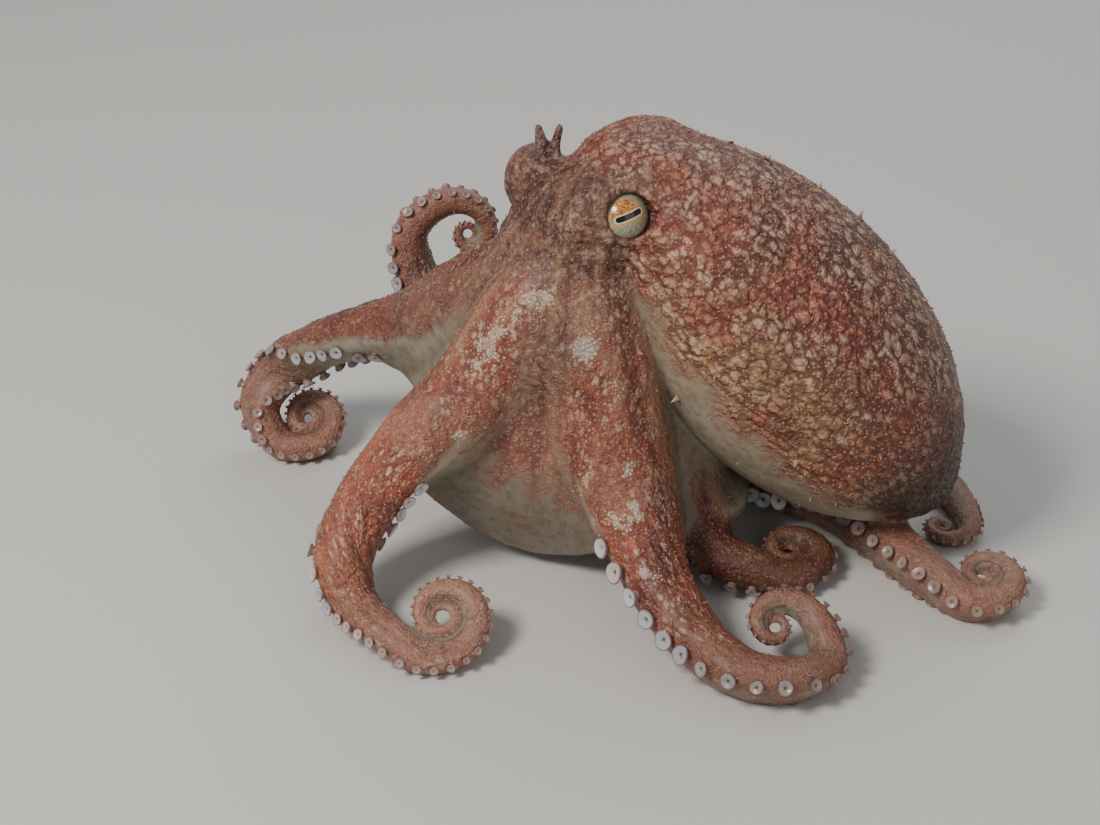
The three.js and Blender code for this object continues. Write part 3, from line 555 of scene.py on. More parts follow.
DARK = [(21.3, -15.3, 111.8, 6), (18.9, -20.9, 101.5, 7), (111.0, -35.1, 45.9, 14), (119.7, -29.8, 60.9, 12), (2.9, -26.4, 89.1, 8), (116, 30, 50, 14)]
TAN = [(15.0, -11.7, 132.3, 6), (10.5, -14.0, 126.8, 6), (26.9, -8.2, 135.6, 5), (5.2, -12.4, 123.7, 7), (18.1, -18.1, 122.1, 4)]
THORNS = [(26.7, -25.1, 85.6, 2.2), (39.6, -23.7, 69.2, 2.6), (67.1, 9.2, 134.7, 2.2), (84.3, 11.0, 124.8, 2.4), (96.9, 9.1, 115.4, 2.6), (106.6, 0.6, 106.8, 2.6),
          (116.8, -5.1, 93.8, 2.4), (56.3, 15.5, 137.8, 1.4), (46.0, 19.4, 140.2, 1.2), (75.4, 9.4, 130.5, 1.5), (123.1, -16.0, 78.1, 1.5), (0.9, -8.5, 123.0, 1.6),
          (1.5, 3.5, 130.7, 1.2), (75.6, -40.0, 55.4, 2), (101.5, -39.9, 58.0, 1.6), (70, 40, 100, 2), (92, 36, 96, 2), (108, 26, 82, 1.8), (84, 44, 60, 1.8)]

def lin(*c):
    c = np.array(c, float) / 255
    return np.where(c <= .04045, c / 12.92, ((c + .055) / 1.055) ** 2.4)

def spots(L, soft=.45, wob=1.2):
    out = np.zeros(NV); Pw = P + np.stack([noise(P, 3.1, 40 + k) for k in range(3)], 1) * wob
    for x, y, z, r in L:
        d = np.sqrt(((Pw - [x, y, z]) ** 2).sum(1)) / r
        out = np.maximum(out, 1 - ramp(d, 1 - soft, 1 + soft))
    return out

n_big, n_mid, n_small = noise(P, 26, 2, 2), noise(P, 11, 5, 2), noise(P, 4.2, 9, 2)
w_arm = Wt[:, [col["arm_" + n] for n in ORDER]].sum(1)
w_web = Wt[:, [col[n] for n in SURF]].sum(1)
w_man, w_head = Wt[:, col["mantle"]], Wt[:, col["head"]] + Wt[:, col["funnel"]]

pale = np.zeros(NV); oral = np.zeros(NV); far = np.zeros(NV); edge = np.zeros(NV); rim = np.zeros(NV); tone_and_painted_shade = np.ones(NV)
# how light each arm is drawn, near the body and at the tip: partly the skin's own tone, partly painted shade
ARM_TONE_AND_SHADE = {"L1": (1.14, .84), "L2": (.98, .58), "L3": (.8, .62), "L4": (.8, .7), "R1": (.6, .74), "R2": (.66, .66), "R3": (.8, .75), "R4": (.8, .7)}
ST = P.copy(); st_w = np.zeros(NV)
for k, n in enumerate(ORDER):
    c, A = ARMC[n], ARM[n]; w = Wt[c["i"], col["arm_" + n]]; f = c["s"] / A.L
    lo_ = -.02 + .62 * (ramp(f, .5, .66) if n == "R1" else ramp(f, .22, .42))
    th = np.arctan2(c["x"], -c["y"])                       # 0 along the back, pi along the suckers
    pa = ramp(c["y"] + .16 * n_small[c["i"]] + .1 * n_mid[c["i"]], lo_, lo_ + .32)
    if n == "R1":
        pa = pa * (1 - .88 * ramp(f, .47, .56))
    pale[c["i"]] += w * pa
    oral[c["i"]] += w * ramp(c["y"], .3, .6)
    far[c["i"]] += w * ramp(f, .38, .7)
    edge[c["i"]] += w * np.exp(-((np.abs(th) - 1.75) / .3) ** 2)
    # painted highlight: a pale line along the back of each coil, where light shows through the thin edge
    rim[c["i"]] += w * np.exp(-(th / .55) ** 2) * ramp(f, .55, .7)
    # each arm darkened by its tone and painted shade
    tone_and_painted_shade[c["i"]] *= 1 - w * (1 - ARM_TONE_AND_SHADE[n][0] - (ARM_TONE_AND_SHADE[n][1] - ARM_TONE_AND_SHADE[n][0]) * ramp(f, .35, .6))
    c["th"] = th
    m = best[c["i"]] == col["arm_" + n]; i = c["i"][m]
    ST[i] = np.stack([c["s"][m] + 700 * k, c["w"][m] * np.sin(th[m]) * 1.2, -c["w"][m] * np.cos(th[m]) * 1.2], 1)
    st_w[i] = ramp(w[m], .6, .95)
L3 = put(ARMC["L3"], Wt[ARMC["L3"]["i"], col["arm_L3"]]); L3s = put(ARMC["L3"], ARMC["L3"]["s"] / ARM["L3"].L)
pale = np.maximum(pale, L3 * ramp(-NRM[:, 1], -.2, .3) * (1 - ramp(L3s + .04 * n_mid, .36, .46)))
# painted shadow: the outer part of L3, which lies under the mantle, drawn dark
l3_painted_shadow = L3 * ramp(L3s, .3, .42)
WEB_PALE = {"web_L1_L2": (.6, .86), "web_R1_L1": (.05, .4), "web_L2_L3": (-.4, -.1), "web_L3_L4": (-.4, -.1)}
for n, c in WEBC.items():
    a, b = WEB_PALE.get(n, (.45, .85))
    o = ramp(c["side"], -.4, .4)
    pa = ramp(c["u"] + .09 * n_mid[c["i"]] + .05 * n_small[c["i"]], a, b) * o + (1 - o)
    pale[c["i"]] += Wt[c["i"], col[n]] * pa
    # painted shade: the pale underside of the web, which curves in under the arms, drawn darker
    tone_and_painted_shade[c["i"]] *= 1 - Wt[c["i"], col[n]] * pa * .54
for (m, n), (ends, hang) in WEBS.items():
    V = SURF["web_%s_%s" % (m, n)]; half = len(V) // 2
    mid = (V[:half] + V[half:]) / 2; nn = unit(V[:half] - V[half:])
    out = np.sign(((mid - np.array([12., 4, 60])) * nn * [1, 1, .3]).sum(1).mean())
    a, b = WEB_PALE.get("web_%s_%s" % (m, n), (.45, .85))
    if a < 0:
        continue
    for arm, e in ((m, ends[0]), (n, ends[1])):
        c = ARMC[arm]; sel = c["s"] < (e + .06) * ARM[arm].L; i = c["i"][sel]
        j = nearest(mid, P[i]); d = P[i] - mid[j]; side = (d * nn[j]).sum(1) * out; away = np.linalg.norm(d, axis=1)
        near = ramp(side, -1.5, 1.) * ramp(away, 16, 9) * ramp(c["s"][sel] / ARM[arm].L, e + .05, e - .03) * Wt[i, col["arm_" + arm]]
        want = ramp((j // 60) / 39. + .09 * n_mid[i] + .05 * n_small[i], a, b)
        pale[i] = pale[i] * (1 - near) + np.minimum(want, pale[i]) * near
deg = np.degrees(np.abs(m_ps)) + 7 * n_mid + 5 * n_small
low = 1 - ramp(P[:, 2] + 4 * n_mid, 104, 118)
deg = deg + 14 * ramp(m_a, -.75, .1) - 14
m_pale = ramp(deg, 101, 123) * low
m_tan = ramp(deg, 58, 84) * (1 - ramp(deg, 101, 123)) * low
pale += w_man * m_pale
pale = np.clip(pale, 0, 1)
pale += w_head * ramp(62 - P[:, 2] + 6 * n_mid, 0, 16) * (1 - pale)
pale = np.clip(pale, 0, 1)
# painted shade, with some of the skin's own tone: the head darker, the mantle darker towards its tip and lower down,
# its pale underside a little darker
tone_and_painted_shade *= 1 - w_head * .36
tone_and_painted_shade *= 1 - w_man * .72 * ramp(m_a * .8 + .35 * n_big * .3 + .3 * (1 - P[:, 2] / 130), .62, .95) * (1 - m_pale)
tone_and_painted_shade *= 1 - .08 * w_man * m_pale
tone_and_painted_shade *= 1 - .4 * w_man * ramp(m_a, .45, .9) * (1 - m_pale)

red, brown, orange = lin(176, 94, 68), lin(112, 58, 46), lin(196, 112, 68)
maroon, tan, cream = lin(88, 36, 34), lin(200, 160, 128), lin(232, 208, 184)
grey, coil, ochre = lin(170, 167, 150), lin(172, 128, 108), lin(176, 142, 98)
def mix(a, b, t):
    t = np.clip(t, 0, 1)[:, None]
    return a * (1 - t) + b * t
B = np.tile(red, (NV, 1))
B = mix(B, brown, .5 + .9 * n_mid - .1 * n_big)
B = mix(B, orange, np.clip(n_big * .9 + .1, 0, .8) * (1 - w_man))
far = np.clip(far, 0, 1)
crown = np.clip(1 - st_w, 0, 1) * (1 - w_man)
warm = 1 - (crown * (1 - .75 * w_head) * (1 - pale))[:, None] * np.array([.1, .34, .44])
B = mix(B, lin(152, 64, 40), crown * (1 - w_head) * .8)
B = mix(B, coil, far * .85)
B = mix(B, mix(np.tile(tan, (NV, 1)), brown, .5 + .75 * n_small + .5 * n_mid), w_head * .8)
B = mix(B, lin(112, 82, 84), w_head * ramp(noise(P, 6, 61, 2), .0, .5) * .6)
B = mix(B, maroon, w_head * ramp(n_mid, .15, .6) * .65)
B = mix(B, lin(132, 108, 96), w_man * ramp(np.cos(m_ps), .55, .98) * .5)
B = mix(B, ochre, w_man * m_tan * .75)
s_red, s_dark, s_tan, s_white, s_star = spots(RED), spots(DARK, .6), spots(TAN, .6), spots(WHITE, .75, 1.6), spots(STARS, .6, 2.2)
B = mix(B, mix(np.tile(red, (NV, 1)), brown, .3 + .6 * n_small), s_red * .8)
B = mix(B, lin(102, 42, 36), s_dark * .6)
B = mix(B, tan * .82, s_tan * .6)
B = mix(B, mix(np.tile(grey, (NV, 1)), lin(162, 146, 116), .3 + .5 * n_mid), pale)
# painted highlight along the backs of the coils
B = mix(B, lin(196, 186, 166), np.clip(rim, 0, 1) * .5)
# painted shadow over the outer part of L3
B = mix(B, mix(np.tile(maroon, (NV, 1)), lin(120, 74, 44), .4 + .8 * n_mid), l3_painted_shadow * .85)
B = B * warm
# painted shade: a little darker in the folds; painted highlight: lighter on the ridges
fold_shade_ridge_light = ((spread(P, quad, 6) - P) * NRM).sum(1)
fold_shade_ridge_light = spread(np.clip(fold_shade_ridge_light / .12, -1, 1), quad, 2)
B = B * (1 - .4 * np.clip(fold_shade_ridge_light, 0, 1) * (1 - .5 * pale))[:, None]
az = np.arctan2(P[:, 1] - 4, P[:, 0] - 12)
ray = noise(np.stack([np.cos(az) * 8.5, np.sin(az) * 8.5, P[:, 2] / 24], 1) + .25 * np.stack([n_mid, n_small, n_mid], 1), 1, 35, 2) * crown
st_n = noise(ST * [1 / 22., 1 / 3.6, 1 / 3.6], 1, 33, 2)
B = mix(B, lin(92, 40, 36), .65 * ramp(-ray, .1, .6) * (1 - pale))
B = mix(B, lin(206, 160, 124), .4 * ramp(ray, .2, .7) * (1 - pale))
B = mix(B, lin(96, 48, 44), .6 * ramp(-st_n, .15, .7) * st_w * (1 - pale) * (1 - .6 * far))
horn = ramp(P[:, 2], 131, 135) * ramp(-np.abs(P[:, 0] + .5), -8, -6) * ramp(-np.abs(P[:, 1] - 19.5), -5, -3.5)
B = mix(B, lin(150, 118, 124), .7 * horn)
# painted highlight on the ridges
B = B * (1 + .18 * np.clip(-fold_shade_ridge_light, 0, 1))[:, None]
patch = np.clip(.74 - .42 * ramp(m_a, -.1, .8) + 1.45 * noise(P, 11, 21, 2), 0, 1) * w_man * (1 - s_red * .75) * (1 - m_pale)
patch = np.clip(np.maximum(patch, s_star * 1.25) + np.clip(.3 + 1.6 * noise(P, 5.5, 23, 2), 0, 1) * w_head * .85, 0, 1)
cells = np.clip(w_man * (1 - m_pale) + w_head * .85 + w_arm * .3 * (1 - far), 0, 1) * (1 - pale)
fleck = np.clip((w_arm + w_web * .8 + .5 * w_head) * (1 - pale) * (1 - .55 * far) * (.85 + .5 * n_mid) * (1 - .7 * l3_painted_shadow), 0, 1)
grain = np.clip((1 - pale) * (1 - .5 * far), 0, 1)

# ------------------------------------------------------------------ low relief: folds along the arms
lift = np.zeros(NV)
lift += (.28 * n_small * (1 - .8 * pale) + .25 * n_mid) * (1 - .6 * far)
lift += .4 * st_n * st_w * (1 - pale) * (1 - far) + .5 * ray * (1 - .7 * pale)
calm = np.ones(NV)
for c in EYES.values():
    calm *= ramp(np.sqrt(((P - c) ** 2).sum(1)), 9, 13)
ground = ramp(P[:, 2] - FLOOR, .1, 1.2)
P = P + NRM * (lift * calm * ground)[:, None]
P[:, 2] = np.maximum(P[:, 2], FLOOR)
NRM = normals(P, quad)

# ------------------------------------------------------------------ unwrap: a strip to each arm, a disc to mantle and head, a patch to each side of a web
fv = quad
fb = best[fv[:, 0]]
UV = np.zeros((len(fv), 4, 2))
maxL = max(A.L for A in ARM.values())
for k, n in enumerate(ORDER):
    c = ARMC[n]; th = put(c, c["th"]); s_ = put(c, c["s"])
    f = fb == col["arm_" + n]; t = th[fv[f]]; t = np.where(t - t[:, :1] > np.pi, t - 2 * np.pi, t); t = np.where(t - t[:, :1] < -np.pi, t + 2 * np.pi, t)
    UV[f, :, 0] = .0375 + .075 * k + t / (2 * np.pi) * .066
    UV[f, :, 1] = .01 + .98 * s_[fv[f]] / maxL
def disc(f, a, r, cx, cy, size):
    UV[f, :, 0] = cx + size * (r * np.cos(a))[fv[f]]
    UV[f, :, 1] = cy + size * (r * np.sin(a))[fv[f]]
disc((fb == col["mantle"]), m_ps, m_ph / np.pi, .8, .2, .19)
d = unit(P - np.array([12., 4, 100])); ph = np.arccos(np.clip(d[:, 2], -1, 1))
disc((fb == col["head"]), np.arctan2(d[:, 1], d[:, 0]), ph / np.pi, .7, .5, .095)
disc((fb == col["funnel"]), np.arctan2(d[:, 1], d[:, 0]), ph / np.pi, .9, .5, .09)
for k, (n, c) in enumerate(WEBC.items()):
    u, v, o = put(c, c["u"]), put(c, c["v"]), put(c, c["side"])
    f = fb == col[n]; up = o[fv[f]].mean(1) > 0; slot_ = 2 * k + up
    UV[f, :, 0] = .605 + .099 * (slot_ % 4)[:, None] + .09 * u[fv[f]]
    UV[f, :, 1] = .605 + .099 * (slot_ // 4)[:, None] + .09 * v[fv[f]]
UV = np.clip(UV, 0, 1)

# ------------------------------------------------------------------ meshes
def to_m(V):
    return (np.asarray(V) + SHIFT) / 1000

def mesh(name, V, faces, uv=None, attrs={}, smooth=True):
    """faces is an array of quads or triangles; uv is one pair to each corner; attrs are arrays to each point"""
    me = bpy.data.meshes.new(name); V = to_m(V).astype(np.float32); faces = np.asarray(faces); k = faces.shape[1]
    me.vertices.add(len(V)); me.vertices.foreach_set("co", V.ravel())
    me.loops.add(faces.size); me.loops.foreach_set("vertex_index", faces.ravel().astype(np.int32))
    me.polygons.add(len(faces)); me.polygons.foreach_set("loop_start", np.arange(0, faces.size, k, dtype=np.int32))
    me.polygons.foreach_set("use_smooth", np.full(len(faces), smooth))
    me.update(calc_edges=True)
    if uv is not None:
        me.uv_layers.new(name="OFBake").data.foreach_set("uv", np.asarray(uv, np.float32).ravel())
    for a, v in attrs.items():
        v = np.asarray(v, np.float32)
        if v.shape[1] == 4:
            me.attributes.new(a, "FLOAT_COLOR", "POINT").data.foreach_set("color", v.ravel())
        else:
            me.attributes.new(a, "FLOAT_VECTOR", "POINT").data.foreach_set("vector", v.ravel())
    me.validate()
    o = bpy.data.objects.new(name, me); bpy.context.scene.collection.objects.link(o)
    return o

st_w = ramp(Wt.max(1), .6, .95)
skin = mesh("skin", P, quad, UV, {
    "base": np.column_stack([B, np.ones(NV)]),
    "ma": np.column_stack([cells, patch, fleck]),
    "mb": np.column_stack([pale, grain, np.clip(s_white, 0, 1)]),
    "mc": np.column_stack([far, st_w, tone_and_painted_shade]),
    "st": ST})

# ------------------------------------------------------------------ suckers: two rows under each arm
rng = np.random.default_rng(8)
PROFILE = [(.7, -.6), (.6, -.15), (.66, .12), (.88, .3), (1., .42), (.99, .52), (.9, .57), (.78, .55), (.6, .5), (.42, .44), (.32, .42), (.22, .36), (.16, .2), (0, .08)]
PROF_S = [(.6, -.5), (.55, 0), (.95, .3), (.98, .45), (.7, .42), (.36, .3), (.24, .26), (0, .05)]
PROF_T = [(.7, -.5), (.9, .3), (.6, .42), (0, .2)]
SV, SF, SU, SK, SH, base_n = [], [], [], [], [], 0
todo = []
for n in ORDER:
    A = ARM[n]; q = A.L * .06; row = 1
    while q < A.L - 5:
        w = float(A.at(q, "w")); D = w * (.48 if n in ("L1", "R1") else .54) * min(1, .62 + q / 60)
        todo.append((n, q, row, D / 2)); q += w * (.29 if n in ("L1", "R1") else .35) + .12; row = -row
G_ = int(math.ceil(math.sqrt(len(todo))))
# under a web the suckers lie closer together on the underside
COVER = {}
for (m, n), (ends, hang) in WEBS.items():
    for one, other, e in ((m, n, ends[0]), (n, m, ends[1])):
        q = .8 * e * ARM[one].L
        COVER[one, 1 if (ARM[other].at(q, "p") - ARM[one].at(q, "p")) @ ARM[one].at(q, "b") > 0 else -1] = e * ARM[one].L
for c, (n, q, row, R) in enumerate(todo):
    A = ARM[n]
    p, t, o, b, w = (A.at(q, k) for k in "ptobw")
    R *= 1 + .07 * rng.standard_normal()
    free = float(ramp(q - COVER.get((n, row), 0), -10, 2))
    tilt = math.radians(24 + 38 * free + 6 * rng.standard_normal()); lean = .12 * rng.standard_normal()
    ax = unit(o * math.cos(tilt) + b * row * math.sin(tilt) + t * lean)
    at = p + (o * (.68 - .18 * free) + b * row * (.34 + .5 * free)) * w + ax * .12 * R
    e1 = unit(np.cross(ax, t)); e2 = np.cross(ax, e1)
    prof, seg = (PROFILE, 24) if R > 1.6 else (PROF_S, 14) if R > .8 else (PROF_T, 8)
    th = np.linspace(0, 2 * np.pi, seg, endpoint=False)
    wob = 1 + .05 * np.sin(2 * th + rng.random() * 6) + .03 * np.sin(3 * th + rng.random() * 6)
    pr = np.array(prof); m = len(pr) - 1
    ring = e1 * np.cos(th)[:, None] + e2 * np.sin(th)[:, None]
    V = at + (pr[:m, 0, None, None] * wob[None, :, None] * ring[None] + pr[:m, 1, None, None] * ax) * R
    V = np.vstack([V.reshape(-1, 3), at + ax * pr[m, 1] * R])
    i = np.arange(m - 1)[:, None] * seg; j = np.arange(seg)[None]; k = (j + 1) % seg
    f = np.stack([i + j, i + k, i + seg + k, i + seg + j], -1).reshape(-1, 4)
    f = np.vstack([f[:, [0, 1, 2]], f[:, [0, 2, 3]], np.stack([(m - 1) * seg + j[0], (m - 1) * seg + k[0], np.full(seg, m * seg)], 1)])
    l = np.concatenate([[0], np.cumsum(np.hypot(*np.diff(pr, axis=0).T))]); l = 1 - l / l[-1]
    u = np.vstack([(l[:m, None, None] * np.stack([np.cos(th), np.sin(th)], -1)[None]).reshape(-1, 2), [[0, 0]]])
    u = (np.array([c % G_, c // G_]) + .5 + .46 * u) / G_
    z0, z1 = V[:, 2].min(), V[:, 2].max(); lo_z = FLOOR + .15
    if z0 < lo_z:
        V[:, 2] = lo_z + (V[:, 2] - z0) * (max(z1, lo_z + .35 * R) - lo_z) / (z1 - z0)
    rad = np.concatenate([np.repeat(pr[:m, 0], seg), [0]])
    along = np.concatenate([np.repeat(np.arange(m) / m, seg), [1]])
    SV.append(V); SF.append(f + base_n); SU.append(u); SK.append(np.column_stack([rad, along, np.full(len(V), min(1, q / A.L))])); base_n += len(V)
    # each sucker takes its arm's tone and painted shade
    sh = ARM_TONE_AND_SHADE[n][0] + (ARM_TONE_AND_SHADE[n][1] - ARM_TONE_AND_SHADE[n][0]) * float(ramp(q / A.L, .35, .6)); SH.append(np.column_stack([np.full(len(V), sh * (1 + .08 * rng.standard_normal())), rng.random() * np.ones(len(V)), np.zeros(len(V))]))
SV, SF, SU, SK, SH = np.vstack(SV), np.vstack(SF), np.vstack(SU), np.vstack(SK), np.vstack(SH)
suckers = mesh("suckers", SV, SF, SU[SF], {"sk": SK, "sh": SH})

# ------------------------------------------------------------------ papillae: small pointed warts, most of them pale at the tip
area = np.ones(NV)
dens = w_man * (1 - m_pale) * 1. + w_head * .55 * calm + (w_arm * (1 - .35 * far) + w_web * .6) * (1 - pale) * .9
dens = np.clip(dens, 0, None) * (P[:, 2] > FLOOR + 1.5) * calm
pick = rng.choice(NV, 5200, replace=False, p=dens / dens.sum())
tree = KDTree(NV)
for i in range(0, NV):
    tree.insert(P[i], i)
tree.balance()
pts = [(i, .4 + .7 * rng.random() ** 3 + .5 * edge[i] * rng.random(), .24 + .1 * rng.random()) for i in pick]
pts += [(tree.find((x, y, z))[1], h, .42 * h ** .7) for x, y, z, h in THORNS]
uv0 = np.zeros((NV, 2)); uv0[fv.ravel()] = UV.reshape(-1, 2)
TV, TF, TU, TK, TS, b0 = [], [], [], [], [], 0
for i, h, r in pts:
    nn = unit(NRM[i] + .35 * rng.standard_normal(3)); e1 = unit(np.cross(nn, [.3, .5, .8])); e2 = np.cross(nn, e1)
    seg = 10 if h > 1.1 else 5; th = np.linspace(0, 2 * np.pi, seg, endpoint=False)
    ring = e1 * np.cos(th)[:, None] + e2 * np.sin(th)[:, None]
    lv = [(1.7, -.3), (1., .12 * h + .05), (.55, .5 * h), (.28, .85 * h)]
    V = np.vstack([P[i] + ring * r * a + nn * z for a, z in lv] + [P[i] + nn * h * 1.05])
    F_ = []
    for q in range(3):
        for j in range(seg):
            k = (j + 1) % seg; F_ += [(q * seg + j, q * seg + k, (q + 1) * seg + k), (q * seg + j, (q + 1) * seg + k, (q + 1) * seg + j)]
    F_ += [(3 * seg + j, 3 * seg + (j + 1) % seg, 4 * seg) for j in range(seg)]
    TV.append(V); TF.append(np.array(F_) + b0); b0 += len(V)
    rr = np.concatenate([np.repeat([1, .8, .5, .25], seg), [0]]); aa = np.concatenate([np.tile(th, 4), [0]])
    TU.append(uv0[i] + .0014 * np.stack([rr * np.cos(aa), rr * np.sin(aa)], 1))
    tip = np.concatenate([np.repeat([0, .12, .6, .9], seg), [1]])
    # each papilla takes the tone and painted shade of the skin under it
    TK.append(np.column_stack([np.tile(B[i], (len(V), 1)), tip * (.35 + .65 * rng.random())])); TS.append(np.full(len(V), tone_and_painted_shade[i]))
TV, TF, TU, TK = np.vstack(TV), np.vstack(TF), np.vstack(TU), np.vstack(TK)
TS = np.concatenate(TS)
papillae = mesh("papillae", TV, TF, TU[TF], {"base": TK, "sh": np.column_stack([TS, TS, TS])})

# ------------------------------------------------------------------ eyes
def eyeball(name, side):
    c = np.array(EYES[side]); ax = unit(GAZE[side])
    flat = unit(np.cross([0, 0, 1.], ax))
    r_ = math.radians(SLIT[side]); up = np.cross(ax, flat)
    u_, v_ = flat * math.cos(r_) + up * math.sin(r_), -flat * math.sin(r_) + up * math.cos(r_)
    D, T = sphere_grid(96, 64)
    D = D[:, [0, 1, 2]]
    V = c + (D[:, :1] * u_ + D[:, 1:2] * v_ + D[:, 2:] * ax) * EYE_R
    if np.linalg.det(np.stack([u_, v_, ax])) < 0:
        T = T[:, ::-1]
    ph = np.arccos(np.clip(D[:, 2], -1, 1)) / np.pi; a = np.arctan2(D[:, 1], D[:, 0])
    uv = .5 + .49 * np.stack([ph * np.cos(a), ph * np.sin(a)], 1)
    return mesh(name, V, orient(V - c, T), uv[orient(V - c, T)], {"ev": D})
SLIT = {"left": 17, "right": 0}
eye_l, eye_r = eyeball("eyeball_left", "left"), eyeball("eyeball_right", "right")

# ------------------------------------------------------------------ materials
class Mat:
    def __init__(s, name):
        s.m = bpy.data.materials.new(name); s.m.use_nodes = True; s.t = s.m.node_tree
        s.b = s.t.nodes["Principled BSDF"]
    def node(s, kind, ins=(), **props):
        n = s.t.nodes.new(kind)
        for k, v in props.items():
            setattr(n, k, v)
        for k, v in dict(ins).items():
            s.set(n.inputs[k], v)
        return n
    def set(s, sock, v):
        if isinstance(v, bpy.types.NodeSocket):
            s.t.links.new(v, sock)
        else:
            sock.default_value = v
    def math(s, op, a, b=0., c=0., clamp=False):
        return s.node("ShaderNodeMath", {0: a, 1: b, 2: c}, operation=op, use_clamp=clamp).outputs[0]
    def mul(s, *a):
        o = a[0]
        for v in a[1:]:
            o = s.math("MULTIPLY", o, v)
        return o
    def add(s, a, b):
        return s.math("ADD", a, b)
    def ramp(s, x, lo, hi, a=0., b=1.):
        return s.node("ShaderNodeMapRange", {0: x, 1: lo, 2: hi, 3: a, 4: b}, interpolation_type="SMOOTHSTEP").outputs[0]
    def mix(s, f, a, b, kind="MIX"):
        n = s.node("ShaderNodeMix", data_type="RGBA", blend_type=kind, clamp_factor=True)
        ins = [i for i in n.inputs if i.enabled]
        s.set(n.inputs[0], f)
        for sock, v in ((n.inputs[6], a), (n.inputs[7], b)):
            s.set(sock, tuple(v) + (1,) if not isinstance(v, bpy.types.NodeSocket) and len(v) == 3 else v)
        return n.outputs[2]
    def attr(s, name):
        return s.node("ShaderNodeAttribute", attribute_name=name)
    def xyz(s, v):
        return s.node("ShaderNodeSeparateXYZ", {0: v}).outputs
    def scale(s, v, k):
        n = s.node("ShaderNodeVectorMath", {0: v}, operation="MULTIPLY"); n.inputs[1].default_value = k if hasattr(k, "__len__") else (k, k, k)
        return n.outputs[0]
    def vadd(s, a, b):
        return s.node("ShaderNodeVectorMath", {0: a, 1: b}, operation="ADD").outputs[0]
    def voronoi(s, v, feature="F1", rnd=1., smooth=None):
        ins = {"Vector": v, "Scale": 1., "Randomness": rnd}
        n = s.node("ShaderNodeTexVoronoi", feature=feature); 
        for k, x in ins.items():
            s.set(n.inputs[k], x)
        return n
    def noise(s, v, scale, detail=2., rough=.5):
        return s.node("ShaderNodeTexNoise", {"Vector": v, "Scale": scale, "Detail": detail, "Roughness": rough})

